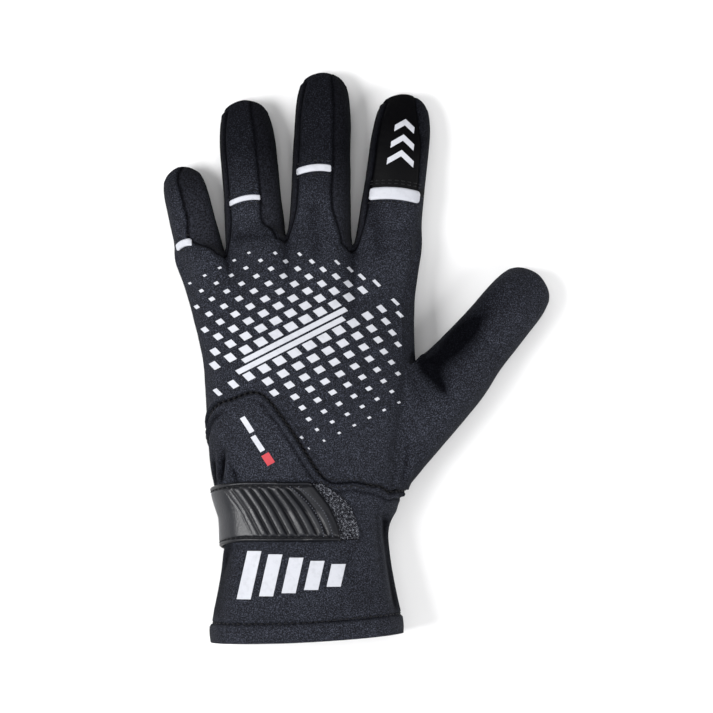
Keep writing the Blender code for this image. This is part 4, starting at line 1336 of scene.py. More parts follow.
def give(made, material, node_slot, *nodes):
    """Finishes a piece: smooth, with its material, riding on the glove, in place of CAD nodes."""
    for vertex in made.data.vertices:
        vertex.co.z = max(vertex.co.z, 0.0)
    made.data.shade_smooth()
    made.data.materials.clear()
    made.data.materials.append(material)
    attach(made, "root")
    if nodes:
        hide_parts(*nodes)
    return made


def paint_shade(made, shades):
    """Gives a mesh its painted shade, a share for each point, for seams, creases, sides and fingers'
    ends.
    """
    made.data.attributes.new("painted_shade", "FLOAT", "POINT").data.foreach_set("value", shades)


def edge_rows(places, outward, rolled):
    """Rows of points that turn an edge in at a seam, or roll it round at the hem."""
    if not rolled:
        return [places - outward * LIP_DEPTH * row for row in LIP_ROWS]
    ahead = unit(np.array([0.0, -1.0, 0.0]) + outward * outward[:, [1]])
    rows = []
    for turn in np.linspace(0, math.pi, HEM_ROLL_STEPS + 1)[1:]:
        sunk = HEM_WALL / 2 * (1 - math.cos(turn))
        rows.append(places + ahead * (HEM_ROLL * math.sin(turn)) - outward * sunk)
    return rows


def panel_mesh(number, skin, points, shade):
    """One panel's cloth: its part of the skin, turned in at its seams and rolled at the hem."""
    _, quads, numbers, normals, _ = skin
    own = quads[numbers == number]
    used, local = np.unique(own, return_inverse=True)
    local = local.reshape(own.shape)
    rim = lone_edges(local)
    shared = np.zeros(len(points), bool)
    shared[np.unique(quads[numbers != number])] = True
    hem = ~shared[used[rim]].all(1)
    places, outward, dark = points[used], normals[used], shade[used]
    vertices, shades = [places], [dark]
    faces = [tuple(q) for q in local]
    total = len(used)
    for before, rolled in ((rim[~hem], False), (rim[hem], True)):
        ends, order = np.unique(before, return_inverse=True)
        order = order.reshape(before.shape)
        for row in edge_rows(places[ends], outward[ends], rolled):
            now = order + total
            faces += [(b, a, c, d) for (a, b), (c, d) in zip(before, now)]
            vertices.append(row)
            shades.append(dark[ends])
            before = now
            total += len(ends)
    made = new_object(PANELS[number] + "_cloth", np.concatenate(vertices), faces)
    paint_shade(made, np.concatenate(shades))
    return made


def grid_faces(rows, columns):
    """Quads of a grid whose points are listed row by row."""
    start = (np.arange(rows - 1)[:, None] * columns + np.arange(columns - 1)).ravel()
    return np.stack([start, start + 1, start + columns + 1, start + columns], 1)


def build_lining():
    """Inside of the glove, seen through its mouth; it gives way to the creases of the cloth."""
    points, quads, numbers, normals, _ = build_skin(LINING_LEVEL)
    inward = smoothed(normals, quads)
    heights, _ = skin_detail(points, normals, seam_chains(quads, numbers), np.zeros(len(points), bool))
    points = points + normals * np.minimum(heights, 0.0)[:, None]
    hem = points[:, 1] - points[:, 1].min() < HEM_DEPTH
    thick = np.where(hem, HEM_WALL, LINING_DEPTH)[:, None]
    return new_object("inner_lining", points - inward * thick, quads[:, ::-1])


def read_skin(tree, x, y):
    """Point and normal of the skin's upper side at (x, y)."""
    place, normal, _, _ = tree.ray_cast(Vector((x, y, READING_START)), Vector((0, 0, -1)))
    if place is None:
        place, normal, _, _ = tree.find_nearest(Vector((x, y, READING_HEIGHT)))
    return np.array(place), np.array(normal)


def rounded(distance):
    """Height of a rounded lip at a distance from its edge, as a share."""
    return math.sqrt(1 - max(0.0, 1 - distance / LIP_ROUND) ** 2)


def strap_shape(v, at):
    """Height of the strap's top and its painted shade, at a share of its width and a length."""
    edge = min(v, 1 - v) * STRAP_WIDTH
    seam = bell(edge - STRAP_EDGE, STRAP_SEAM_WIDTH)
    inside = clamp((edge - STRAP_EDGE - RIB_INSET) / RIB_FADE)
    start = clamp((at - RIBS_FROM + RIB_PITCH) / (RIB_RUN_IN * RIB_PITCH))
    end = clamp((STRAP_LENGTH + RIB_PAST_END - at) / RIB_RUN_OUT)
    ribbed = inside * start * end
    low = 0.5 - 0.5 * math.cos(2 * math.pi * (at - RIBS_FROM) / RIB_PITCH)
    height = STRAP_WALL * at_least(LIP_LOW, rounded(edge)) - STRAP_SEAM_DEPTH * seam
    height += RIB_RISE * (RIB_TOP - low**RIB_SHARPNESS) * ribbed
    height += STRAP_PUFF * math.sin(math.pi * min(1.0, 2 * edge / STRAP_WIDTH))
    # Painted shade in the ribs' grooves, the edge seams and on the rim
    shade = RIB_SHADE * low**RIB_SHADE_SHARPNESS * ribbed
    shade += STRAP_SEAM_SHADE * seam + RIM_SHADE * bell(edge, RIM_WIDTH)
    return height, min(1.0, shade)


def strap_slant(length):
    """Slant of the strap's columns at a length."""
    tail = clamp((length - STRAP_LENGTH + STRAP_TAIL) / STRAP_TAIL)
    return STRAP_SLANT * min(1.0, length / RIBS_FROM) * (1 - tail) + STRAP_END_SLANT * tail


def strap_point(wrist, length, v):
    """Point and normal under the strap at a length, for a slanting column that bows near the end."""
    ribbed = max(0.0, (length - RIBS_FROM) / (STRAP_LENGTH - RIBS_FROM))
    bow = STRAP_END_BULGE * ribbed**STRAP_BOW_CURVE * math.sin(math.pi * v)
    at = length - strap_slant(length) * v * STRAP_WIDTH + bow
    place, normal = wrist.read(at, strap_y(v, at) - middle[1])
    slack = STRAP_SLACK * bell(at - STRAP_SLACK_AT, STRAP_SLACK_SPREAD)
    return place + normal * (SURFACE_GAP + slack + pad_lift(length)), normal


def build_strap_looks(wrist):
    """Strap with rounded edges, sunk seams and slanting ribs, and painted shade in them and at its ends.
    """
    columns = int(STRAP_LENGTH / LEATHER_STEP)
    over, under, shades = [], [], []
    for turn in np.linspace(0.0, math.pi, LEATHER_ROWS):
        v = 0.5 - 0.5 * math.cos(turn)
        for length in np.linspace(0.0, STRAP_LENGTH, columns):
            place, normal = strap_point(wrist, length, v)
            height, shade = strap_shape(v, length)
            end = min(length, STRAP_LENGTH - length)
            over.append(place + normal * height * at_least(END_LOW, rounded(end)))
            under.append(place)
            # Painted shade at the strap's two ends
            shades.append(max(shade, END_SHADE * bell(end, END_SHADE_WIDTH)))
    made = closed("wrist_strap_leather", over, under, grid_faces(LEATHER_ROWS, columns))
    paint_shade(made, [*shades, *shades])
    return made


def closed(name, outer, inner, quads):
    """Closed mesh between two copies of the same quads."""
    count = len(outer)
    faces = [tuple(q) for q in quads]
    faces += [tuple(q[::-1] + count) for q in quads]
    faces += [(b, a, count + a, count + b) for a, b in lone_edges(quads)]
    return new_object(name, [*outer, *inner], faces)


def build_pad_looks(wrist):
    """Loop pad beside the strap's end, and the pile that stands on it."""
    rows, columns = PAD_MESH
    over, under, normals = [], [], []
    for v in np.linspace(1 - PAD_MARGIN, PAD_MARGIN, rows):
        for share in np.linspace(0.0, 1.0, columns):
            at = pad_place(v, share) + PAD_WOBBLE * math.sin(PAD_WOBBLE_TURN * v) * share
            place, normal = wrist.read(at, strap_y(v, at) - middle[1])
            base = place + normal * SURFACE_GAP
            inside = min(v - PAD_MARGIN, 1 - PAD_MARGIN - v)
            edge = clamp(min(inside / PAD_EDGE, (1 - share) / PAD_END))
            bumps = PAD_BUMP * noise.noise(Vector(base) / PAD_BUMP_SIZE)
            over.append(base + normal * (PAD_WALL * at_least(PAD_EDGE_LOW, math.sqrt(edge)) + bumps))
            under.append(base)
            normals.append(normal)
    pad = closed("loop_pad_base", over, under, grid_faces(rows, columns)[:, ::-1])
    return pad, build_pile(over, normals)


def build_pile(tops, normals):
    """Pile: thin spikes at random places on the pad's top, which is given by its points."""
    columns = PAD_MESH[1]
    vertices, faces = [], []
    for k in range(PILE_COUNT):
        r, c = rng.uniform(*PILE_ROWS), rng.uniform(*PILE_COLUMNS)
        i = int(r) * columns + int(c)
        foot = tops[i] + (tops[i + 1] - tops[i]) * (c % 1) + (tops[i + columns] - tops[i]) * (r % 1)
        lean = normals[i] * rng.uniform(*PILE_RISES) + rng.normal(0, PILE_LEAN, 3)
        tip = foot + lean * PILE_LENGTH * rng.uniform(*PILE_LENGTHS)
        side = unit(np.cross(lean, rng.normal(0, 1, 3))) * PILE_RADIUS
        other = unit(np.cross(lean, side)) * PILE_RADIUS
        start = len(vertices)
        vertices += [foot + side, foot - side / 2 + other, foot - side / 2 - other, tip]
        faces += [(start + a, start + (a + 1) % 3, start + 3) for a in range(3)]
    return new_object("loop_pad_pile", vertices, faces)


def finger_frame(f):
    """Base, direction ahead, direction to the right, length and width of a finger."""
    finger = FINGERS[f]
    base = (knuckle_point(f) + knuckle_point(f + 1)) / 2 - middle
    ahead, right = directions(finger.lean)
    return base, ahead, right, finger.length * FINGER_LENGTH, finger.width * FINGER_WIDTH


def across_bar(f, u, v):
    """Place (x, y) on a finger's bar: u across the finger, v along it in metres, with the bow."""
    base, ahead, right, length, width = finger_frame(f)
    bar = BARS[f]
    centre = base + ahead * (FINGERS[f].rings[FINGERS[f].bar] * length)
    off = u - (bar.start + bar.end) / 2
    slope = math.tan(math.radians(bar.tilt))
    bow = BAR_BOW * width * (2 * off / (bar.end - bar.start)) ** 2
    return centre + right * (u * width / 2) + ahead * (v + off * slope / 2 * width + bow)


def build_bar_looks(f, tree):
    """Reflective bar: a low padded strip with round corners."""
    bar = BARS[f]
    width = FINGERS[f].width * FINGER_WIDTH
    rows, columns = BAR_MESH
    half = bar.width * width / 2
    corner = half * BAR_ROUND
    over, under = [], []
    for r in np.linspace(-1, 1, rows):
        for c in np.linspace(-1, 1, columns):
            from_end = (1 - abs(c)) * (bar.end - bar.start) * width / 4
            end = clamp(1 - from_end / corner)
            tall = at_least(1 - BAR_ROUND, math.sqrt(1 - end**2))
            u = (bar.start + bar.end) / 2 + c * (bar.end - bar.start) / 2
            place, normal = read_skin(tree, *across_bar(f, u, r * half * tall))
            puff = math.sqrt((1 - abs(r) ** BAR_FULLNESS) * (1 - end**BAR_FULLNESS))
            over.append(place + normal * (BAR_LIFT + BAR_PUFF * puff))
            under.append(place - normal * BAR_SINK)
    return closed("reflective_bar_" + FINGERS[f].name, over, under, grid_faces(rows, columns))


def stitch_template():
    """Points and faces of one stitch: x along it, y to the side, z out of the cloth."""
    points, faces = [], []
    for x in np.linspace(-1, 1, STITCH_STATIONS):
        radius = STITCH_RADIUS * (1 - abs(x) ** STITCH_TAPER) ** 0.5 + STITCH_TIP
        rise = STITCH_RADIUS * (STITCH_RISE - STITCH_BOW * x * x)
        for angle in np.linspace(0, 2 * math.pi, STITCH_SIDES, endpoint=False):
            y, z = radius * math.cos(angle), rise + radius * math.sin(angle)
            points.append((x * STITCH_LENGTH / 2, y, z))
    for start in range(0, (STITCH_STATIONS - 1) * STITCH_SIDES, STITCH_SIDES):
        for k in range(STITCH_SIDES):
            a, b = start + k, start + (k + 1) % STITCH_SIDES
            faces.append((a, b, b + STITCH_SIDES, a + STITCH_SIDES))
    return np.array(points), faces


def read_path(values, lengths, at):
    """Point or normal of a path at a length along it."""
    return np.array([np.interp(at, lengths, values[:, i]) for i in range(3)])


def build_stitches(name, paths, pitch=STITCH_PITCH, length=STITCH_LENGTH):
    """Stitches along paths of (points, normals), joined into one mesh."""
    template, template_faces = stitch_template()
    template = template * (length / STITCH_LENGTH, 1.0, 1.0)
    vertices, faces = [], []
    for places, normals in paths:
        lengths = path_lengths(places)
        count = int(lengths[-1] / pitch)
        for k in range(count):
            at = (k + 0.5) * lengths[-1] / count
            before = read_path(places, lengths, at - HEADING_STEP)
            after = read_path(places, lengths, at + HEADING_STEP)
            ahead = unit(after - before)
            side = unit(np.cross(read_path(normals, lengths, at), ahead))
            turn = np.array([ahead, side, np.cross(ahead, side)])
            start = len(vertices) * len(template)
            vertices.append(read_path(places, lengths, at) + template @ turn)
            faces += [tuple(start + v for v in face) for face in template_faces]
    return new_object(name, np.concatenate(vertices), faces)


def beside(tree, places, normals, offset):
    """Path on the skin beside another, at an offset to its right."""
    side = unit(np.cross(normals, np.gradient(places, axis=0)))
    return as_path([tree.find_nearest(Vector(p))[:2] for p in places + side * offset])


def seam_stitches(tree, points, normals, chains):
    """Paths of the rows of stitches beside the wrist seam and the bars."""
    paths = []
    for pair, chain in chains:
        if pair == (BACK, CUFF):
            for offset in (STITCH_FROM_SEAM, -STITCH_FROM_SEAM):
                paths.append(beside(tree, points[chain], normals[chain], offset))
    for f, finger in enumerate(FINGERS):
        bar = BARS[f]
        half = bar.width * finger.width * FINGER_WIDTH / 2
        rows = [half + BAR_ROW_ABOVE, -half - BAR_ROW_BELOW]
        if finger.name == "index":
            rows.append(half + BAR_ROW_TOP)
        us = np.linspace(bar.start - BAR_ROW_START, bar.end + BAR_ROW_END, BAR_ROW_POINTS)
        for v in rows:
            paths.append(as_path([read_skin(tree, *across_bar(f, u, v)) for u in us]))
    return paths


def hem_path(tree):
    """Path of the hem's stitches on the skin, round the cuff."""
    found = []
    for turn in np.linspace(0.0, 2 * math.pi, HEM_PATH_POINTS):
        out = Vector((math.cos(turn), 0.0, math.sin(turn)))
        y = HEM_DEPTH + HEM_RISE * ((math.cos(turn) + 1) / 2) ** 2
        foot = Vector((-middle[0], y - middle[1], WRIST_AXIS * WRIST_HEIGHT))
        place, normal, _, _ = tree.ray_cast(foot + out * READING_START, -out)
        if place is not None:
            found.append((place, normal))
    return as_path(found)


def strap_path(wrist, spots, lift=0.0):
    """Path on top of the strap through spots, each a length and a share of the strap's width."""
    found = []
    for length, v in spots:
        place, normal = strap_point(wrist, length, v)
        found.append((place + normal * (strap_shape(v, length)[0] + lift), normal))
    return as_path(found)


def edge_stitches(wrist):
    """Paths of the stitches along the strap's edges."""
    edge = STRAP_EDGE / STRAP_WIDTH
    lengths = np.linspace(EDGE_ROW_SHORT, STRAP_LENGTH - EDGE_ROW_SHORT, EDGE_ROW_POINTS)
    return [strap_path(wrist, [(s, v) for s in lengths], EDGE_ROW_LIFT) for v in (edge, 1 - edge)]


def end_stitches(wrist):
    """Paths of the pale stitches that curve across the strap near its free end."""
    edge = STRAP_EDGE / STRAP_WIDTH
    paths = []
    for row in END_ROWS:
        vs = np.linspace(edge, 1 - edge, END_ROW_POINTS)
        base = STRAP_LENGTH - row.before
        paths.append(strap_path(wrist, [(base + row.bow * math.sin(math.pi * v), v) for v in vs]))
    return paths


class Film:
    """Printed shapes, each a patch of quads laid on the skin."""

    def __init__(self, tree):
        self.tree, self.vertices, self.faces = tree, [], []

    def patch(self, corner, along, up):
        """Parallelogram from a corner and its two sides, in (x, y)."""
        corner, along, up = (np.array(v, float) for v in (corner, along, up))
        m = max(1, int(np.linalg.norm(along) / FILM_STEP) + 1)
        n = max(1, int(np.linalg.norm(up) / FILM_STEP) + 1)
        start = len(self.vertices)
        for j in range(n + 1):
            for i in range(m + 1):
                x, y = corner + along * (i / m) + up * (j / n)
                place, normal = read_skin(self.tree, x, y)
                self.vertices.append(place + normal * FILM_LIFT)
        quads = grid_faces(n + 1, m + 1) + start
        turn = along[0] * up[1] - along[1] * up[0]
        self.faces += [tuple(q if turn > 0 else q[::-1]) for q in quads]

    def make(self, name):
        return new_object(name, self.vertices, self.faces)


def on_back(tree, numbers, spots):
    """Whether all the spots (x, y) lie on the back panel."""
    down = Vector((0, 0, -1))
    found = [tree.ray_cast(Vector((x, y, READING_START)), down)[2] for x, y in spots]
    return all(i is not None and numbers[i] == BACK for i in found)


def build_back_print(tree, numbers):
    """Slanting dashes that fade out to both sides of two long stripes."""
    shapes = Film(tree)
    centre = np.array(PRINT_CENTRE)
    _, along = directions(PRINT_LEAN)
    up, _ = directions(PRINT_LEAN + PRINT_SHEAR)
    for row in range(-PRINT_ROWS, PRINT_ROWS + 1):
        if row == 0:
            continue
        out = abs(row) - 1
        fade = 1 - out / (PRINT_ROWS - PRINT_LAST_ROW)
        tall = PRINT_PITCH * DASH_TALL * at_least(DASH_LOWEST, fade)
        reach = PRINT_REACH * (1 - PRINT_NARROWING * (out / PRINT_ROWS) ** PRINT_NARROW_CURVE)
        x = -reach + (row % 2) * PRINT_DASH * PRINT_STAGGER
        while x < reach:
            edge = 1 - abs(x / reach) ** DASH_EDGE_CURVE
            long = at_least(DASH_SHORTEST[0], fade) * at_least(DASH_SHORTEST[1], edge)
            corner = centre + along * x + up * (row * PRINT_PITCH)
            sides = along * PRINT_DASH * long * DASH_WIDE, up * tall
            spots = [corner + sides[0] * i + sides[1] * j for i in DASH_CLEARANCE for j in DASH_CLEARANCE]
            if corner[1] < PRINT_TOP and corner[0] < PRINT_RIGHT and on_back(tree, numbers, spots):
                shapes.patch(corner, *sides)
            x += PRINT_DASH
    for stripe in PRINT_STRIPES:
        corner = centre - along * stripe.before + up * stripe.offset
        shapes.patch(corner, along * (stripe.before + stripe.after), up * stripe.tall)
    return shapes.make("back_print")


def build_small_prints(tree):
    """Slanting blocks on the cuff, three darts on the index finger and two marks by the seam."""
    pale, accent = Film(tree), Film(tree)
    for k in range(BLOCK_COUNT):
        corner = np.array(BLOCK_CORNER) + (k * BLOCK_STEP, k * BLOCK_RISE)
        tall = BLOCK_TALL - k * BLOCK_SHRINK
        pale.patch(corner, (BLOCK_WIDE, 0.0), (BLOCK_LEAN * tall / BLOCK_TALL, tall))
    base, ahead, right, length, _ = finger_frame(len(FINGERS) - 1)
    for k in range(DART_COUNT):
        tip = base + ahead * (length * (DART_FROM + DART_STEP * k)) + right * DART_RIGHT
        arm = DART_ARM - DART_SHRINK * k
        for side in (-1, 1):
            pale.patch(tip, right * side * arm - ahead * arm * DART_SWEEP, ahead * DART_BAND)
    for k in range(MARK_COUNT):
        pale.patch(np.array(MARK_CORNER) + np.array(MARK_STEP) * k, *MARK_SIDES)
    accent.patch(RED_CORNER, *RED_SIDES)
    return pale.make("small_prints"), accent.make("accent_print")


def elastic_paths(tree):
    """Rows of stitches over the elastic on the palm side of the wrist."""
    xs = np.linspace(ELASTIC_FROM, ELASTIC_TO, ELASTIC_POINTS)
    up = Vector((0, 0, 1))
    return [
        as_path([tree.ray_cast(Vector((x, y, -READING_START)), up)[:2] for x in xs])
        for y in ELASTIC_ROWS
    ]


class Nodes:
    """Small helper that adds shader nodes to one material and links them."""

    def __init__(self, name):
        self.material = bpy.data.materials.new(name)
        self.material.use_nodes = True
        self.tree = self.material.node_tree
        self.shader = self.tree.nodes["Principled BSDF"]
        self.place = self.add("ShaderNodeTexCoord").outputs["Object"]
        self.shade = None

    def add(self, kind, **values):
        """Adds a node with its properties or inputs set by name."""
        node = self.tree.nodes.new(kind)
        for key, value in values.items():
            if hasattr(node, key):
                setattr(node, key, value)
            else:
                node.inputs[key].default_value = value
        return node

    def link(self, output, target):
        self.tree.links.new(output, target)

    def texture(self, kind, scale, **values):
        """Texture in the object's own coordinates; scale counts features in a metre."""
        node = self.add(kind, Scale=scale, **values)
        self.link(self.place, node.inputs["Vector"])
        return node

    def ramp(self, value, stops):
        """Colour ramp over a value, with stops of (position, colour)."""
        node = self.add("ShaderNodeValToRGB")
        elements = node.color_ramp.elements
        while len(elements) < len(stops):
            elements.new(1.0)
        for element, (position, colour) in zip(elements, stops):
            element.position = position
            element.color = (*colour, 1.0)
        self.link(value, node.inputs["Fac"])
        return node.outputs["Color"]

    def mixed(self, share, first, second, how="MIX"):
        """First colour mixed with the second by a share."""
        node = self.add("ShaderNodeMix", data_type="RGBA", blend_type=how)
        for value, slot in zip((share, first, second), MIX_SLOTS):
            if isinstance(value, bpy.types.NodeSocket):
                self.link(value, node.inputs[slot])
            elif isinstance(value, tuple):
                node.inputs[slot].default_value = (*value, 1.0)
            else:
                node.inputs[slot].default_value = value
        return node.outputs[MIX_RESULT]

    def mapped(self, value, low, high, to_low, to_high):
        """Value taken from one range to another."""
        node = self.add("ShaderNodeMapRange")
        ends = {"From Min": low, "From Max": high, "To Min": to_low, "To Max": to_high}
        for slot, number in ends.items():
            node.inputs[slot].default_value = number
        self.link(value, node.inputs["Value"])
        return node.outputs["Result"]

    def with_painted_shade(self, colour):
        """Colour that takes on the painted shade of seams, creases, sides and fingers' ends."""
        self.shade = self.add("ShaderNodeAttribute", attribute_name="painted_shade").outputs["Fac"]
        share = self.mapped(self.shade, 0.0, 1.0, 0.0, PAINTED_SHADE_STRENGTH)
        return self.mixed(share, colour, PAINTED_SHADE_COLOUR)

    def bump(self, layers):
        """Chain of bumps from (height, distance in metres, strength)."""
        last = None
        for height, distance, strength in layers:
            node = self.add("ShaderNodeBump", Distance=distance, Strength=strength)
            self.link(height, node.inputs["Height"])
            if last is not None:
                self.link(last, node.inputs["Normal"])
            last = node.outputs["Normal"]
        self.link(last, self.shader.inputs["Normal"])

    def surface(self, colour, roughness, sheen=0.0, tint=(1.0, 1.0, 1.0), shine=0.5):
        """Sets the shader; colour and roughness may be sockets. Gloss and sheen fade where shade is
        painted.
        """
        gloss = {"Specular IOR Level": shine, "Sheen Weight": sheen}
        if self.shade is not None:
            for slot, full in gloss.items():
                gloss[slot] = self.mapped(self.shade, 0.0, 1.0, full, PAINTED_SHADE_GLOSS * full)
        values = {"Base Color": colour, "Roughness": roughness, **gloss}
        values.update({"Sheen Roughness": SHEEN_ROUGHNESS, "Sheen Tint": tint})
        for slot, value in values.items():
            if isinstance(value, bpy.types.NodeSocket):
                self.link(value, self.shader.inputs[slot])
            elif isinstance(value, tuple):
                self.shader.inputs[slot].default_value = (*value, 1.0)
            else:
                self.shader.inputs[slot].default_value = value
        return self.material


def softshell():
    """Charcoal knit with fine pale flecks."""
    n = Nodes("softshell_knit")
    loops = n.texture("ShaderNodeTexVoronoi", 1300.0, Randomness=0.75)
    flecks = n.texture("ShaderNodeTexNoise", 1900.0, Detail=4.0, Roughness=0.8)
    broad = n.texture("ShaderNodeTexNoise", 38.0, Detail=3.0, Roughness=0.6)
    base = n.ramp(flecks.outputs["Fac"], ((0.42, FABRIC_DARK), (0.52, FABRIC_MID), (0.66, FABRIC_PALE)))
    cloudy = n.ramp(broad.outputs["Fac"], ((0.35, (0.78, 0.78, 0.80)), (0.65, (1.0, 1.0, 1.0))))
    colour = n.with_painted_shade(n.mixed(1.0, base, cloudy, "MULTIPLY"))
    n.bump((
        (loops.outputs["Distance"], 0.00030, 0.55),
        (flecks.outputs["Fac"], 0.00030, 0.35),
    ))
    return n.surface(colour, roughness=0.85, sheen=0.06, tint=(0.72, 0.78, 0.95), shine=0.16)


def suede():
    """Black suede with a brushed nap."""
    n = Nodes("palm_suede_nap")
    nap = n.texture("ShaderNodeTexNoise", 1300.0, Detail=4.0, Roughness=0.75)
    grain = n.texture("ShaderNodeTexVoronoi", 700.0, Randomness=1.0)
    broad = n.texture("ShaderNodeTexNoise", 55.0, Detail=4.0, Roughness=0.65)
    base = n.ramp(nap.outputs["Fac"], ((0.40, SUEDE_DARK), (0.66, SUEDE_PALE)))
    cloudy = n.ramp(broad.outputs["Fac"], ((0.38, (0.62, 0.62, 0.64)), (0.64, (1.0, 1.0, 1.0))))
    n.bump((
        (grain.outputs["Distance"], 0.00025, 0.35),
        (nap.outputs["Fac"], 0.00025, 0.55),
    ))
    colour = n.with_painted_shade(n.mixed(1.0, base, cloudy, "MULTIPLY"))
    return n.surface(colour, roughness=0.95, sheen=0.08, tint=(0.70, 0.76, 0.95), shine=0.06)


def leather(name, colour, roughness, grain_size, shine):
    """Fine-grained synthetic leather."""
    n = Nodes(name)
    grain = n.texture("ShaderNodeTexVoronoi", 1.0 / grain_size, Randomness=1.0)
    wear = n.texture("ShaderNodeTexNoise", 60.0, Detail=3.0)
    rough = n.mapped(wear.outputs["Fac"], 0.3, 0.7, roughness - 0.06, roughness + 0.10)
    shade = n.ramp(wear.outputs["Fac"], ((0.3, tuple(0.8 * c for c in colour)), (0.7, colour)))
    n.bump(((grain.outputs["Distance"], 0.00016, 0.35),))
    return n.surface(n.with_painted_shade(shade), rough, shine=shine)


def speckled(name, dark, pale, scale, roughness, sheen=0.0):
    """Two-tone speckle with a bump, for the pile, the lining and the gussets."""
    n = Nodes(name)
    spots = n.texture("ShaderNodeTexNoise", scale, Detail=3.0, Roughness=0.7)
    n.bump(((spots.outputs["Fac"], 0.0003, 0.6),))
    colour = n.with_painted_shade(n.ramp(spots.outputs["Fac"], ((0.42, dark), (0.64, pale))))
    return n.surface(colour, roughness, sheen=sheen, shine=0.12)


def film(name, colour, roughness):
    """Printed or reflective film that has taken the fabric's fine texture."""
    n = Nodes(name)
    beads = n.texture("ShaderNodeTexVoronoi", 1600.0, Randomness=0.6)
    worn = n.texture("ShaderNodeTexNoise", 420.0, Detail=2.0, Roughness=0.6)
    shade = n.ramp(worn.outputs["Fac"], ((0.30, tuple(0.90 * c for c in colour)), (0.52, colour)))
    n.bump(((beads.outputs["Distance"], 0.00012, 0.30),))
    return n.surface(shade, roughness, shine=0.3)


def thread(name, colour):
    """Twisted sewing thread."""
    n = Nodes(name)
    twist = n.texture("ShaderNodeTexNoise", 3500.0, Detail=1.0)
    n.bump(((twist.outputs["Fac"], 0.00008, 0.5),))
    shade = n.ramp(twist.outputs["Fac"], ((0.35, tuple(0.6 * c for c in colour)), (0.65, colour)))
    return n.surface(shade, roughness=0.6, sheen=0.05, shine=0.2)


def add_light(look):
    """Soft square area light over the glove that points down at its middle."""
    light = bpy.data.lights.new(look.name, "AREA")
    light.shape = "SQUARE"
    light.size = look.size
    light.energy = look.power
    made = bpy.data.objects.new(look.name, light)
    made.location = look.place
    aim = Vector((0.0, 0.0, look.aim)) - Vector(look.place)
    made.rotation_euler = aim.to_track_quat("-Z", "Y").to_euler()
    bpy.context.scene.collection.objects.link(made)


def build_stage():
    """Pale floor, studio lights, a plain world and the overhead camera."""
    corners = [(x * FLOOR_REACH, y * FLOOR_REACH, 0) for x, y in ((-1, -1), (1, -1), (1, 1), (-1, 1))]
    floor = new_object("floor", corners, [(0, 1, 2, 3)])
    floor.location.z = -FLOOR_DROP
    n = Nodes("floor_paper")
    fine = n.texture("ShaderNodeTexNoise", 12.0, Detail=2.0)
    shade = n.ramp(fine.outputs["Fac"], ((0.3, FLOOR_TONES[0]), (0.7, FLOOR_TONES[1])))
    floor.data.materials.append(n.surface(shade, roughness=0.9))
    for look in LIGHTS:
        add_light(look)
    world = bpy.data.worlds.new("studio")
    world.use_nodes = True
    background = world.node_tree.nodes["Background"]
    background.inputs["Color"].default_value = (1.0, 1.0, 1.0, 1.0)
    background.inputs["Strength"].default_value = WORLD_STRENGTH
    scene = bpy.context.scene
    scene.world = world
    lens = bpy.data.cameras.new("camera")
    lens.angle = 2 * math.atan(FRAME_HEIGHT / 2 / (CAMERA_HEIGHT - AIM_HEIGHT))
    camera = bpy.data.objects.new("camera", lens)
    camera.location = (0.0, 0.0, CAMERA_HEIGHT)
    scene.collection.objects.link(camera)
    scene.camera = camera
    scene.view_settings.view_transform = "Standard"


def dress_cloth(skin, detailed, shade):
    """Cloth of every panel and the lining."""
    knit = softshell()
    patch = leather("tip_patch_skin", PATCH_COLOUR, roughness=0.60, grain_size=0.0006, shine=0.12)
    gusset = speckled("gusset_knit", *GUSSET_TONES, scale=1400.0, roughness=0.9, sheen=0.05)
    for number, name in enumerate(PANELS):
        cloth = panel_mesh(number, skin, detailed, shade)
        if number == PALM:
            give(cloth, suede(), "palm_suede", name)
        elif name == "tip_patch_index":
            give(cloth, patch, "tip_patch", name)
            cloth.data.materials.append(knit)
            centres = np.array([face.center for face in cloth.data.polygons])
            on_strip = (strip_distance(centres) > 0).astype(np.int32)
            cloth.data.polygons.foreach_set("material_index", on_strip)
        elif FIRST_GUSSET <= number < FIRST_TIP:
            give(cloth, gusset, "back_fabric", name)
        else:
            give(cloth, knit, "back_fabric", name)
    inside = speckled("lining_knit", *LINING_TONES, scale=800.0, roughness=0.95, sheen=0.05)
    give(build_lining(), inside, "back_fabric")


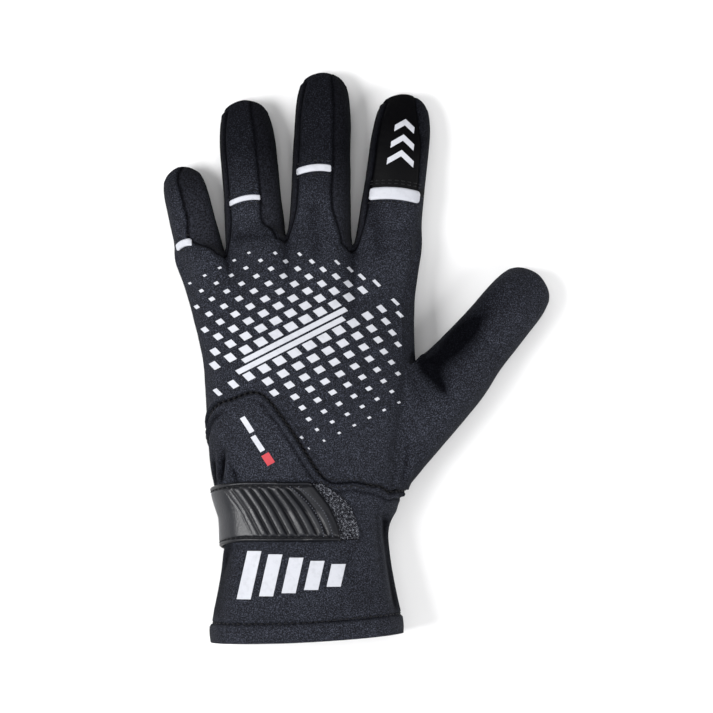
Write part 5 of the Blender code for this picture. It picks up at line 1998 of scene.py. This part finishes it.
def dress_wrist(wrist):
    """Strap, loop pad and pile."""
    hide = leather("strap_grain", STRAP_COLOUR, roughness=0.36, grain_size=0.0008, shine=0.38)
    strap = give(build_strap_looks(wrist), hide, "strap_leather", "wrist_strap")
    pad, pile = build_pad_looks(wrist)
    ground = speckled("pile_ground", *PAD_TONES, scale=1400.0, roughness=1.0)
    give(pad, ground, "loop_pile", "loop_pad")
    loops = speckled("pile_loops", *PILE_TONES, scale=900.0, roughness=0.7, sheen=0.1)
    give(pile, loops, "loop_pile")


def dress(skin):
    """Builds every piece, gives it its material and puts it in place of its CAD nodes."""
    points, quads, numbers, normals, _ = skin
    chains = seam_chains(quads, numbers)
    on_cuff = np.zeros(len(points), bool)
    on_cuff[np.unique(quads[numbers == CUFF])] = True
    heights, shade = skin_detail(points, normals, chains, on_cuff)
    detailed = points + normals * heights[:, None]
    detailed[:, 2] = np.maximum(detailed[:, 2], 0.0)
    tree = BVHTree.FromPolygons(detailed.tolist(), quads.tolist())
    wrist = Wrist(tree, CUFF_LENGTH + STRAP_WIDTH / 2 - middle[1], middle)

    dress_cloth(skin, detailed, shade)
    dress_wrist(wrist)
    shine = film("reflective_bead_film", BAR_COLOUR, roughness=0.45)
    for f, finger in enumerate(FINGERS):
        give(build_bar_looks(f, tree), shine, "reflective_film", "bar_" + finger.name)

    dark, pale = thread("dark_thread", DARK_THREAD), thread("pale_thread", PALE_THREAD)
    rows = seam_stitches(tree, detailed, vertex_normals(detailed, quads), chains)
    give(build_stitches("seam_stitches", rows), dark, "back_fabric")
    give(build_stitches("hem_stitches", [hem_path(tree)]), dark, "back_fabric")
    give(build_stitches("elastic_stitches", elastic_paths(tree)), dark, "palm_suede")
    give(build_stitches("strap_edge_stitches", edge_stitches(wrist)), dark, "strap_leather")
    dots = build_stitches("strap_end_stitches", end_stitches(wrist), DOT_PITCH, DOT_LENGTH)
    give(dots, pale, "strap_leather")

    ink = film("pale_print", PRINT_COLOUR, roughness=0.5)
    give(build_back_print(tree, numbers), ink, "back_fabric")
    white, accent = build_small_prints(tree)
    give(white, ink, "back_fabric")
    give(accent, film("red_print", RED_COLOUR, roughness=0.5), "back_fabric")


build_stage()
glove_skin = build_skin(CLOTH_LEVEL)
middle = glove_skin[-1]
dress(glove_skin)
bpy.context.view_layer.update()
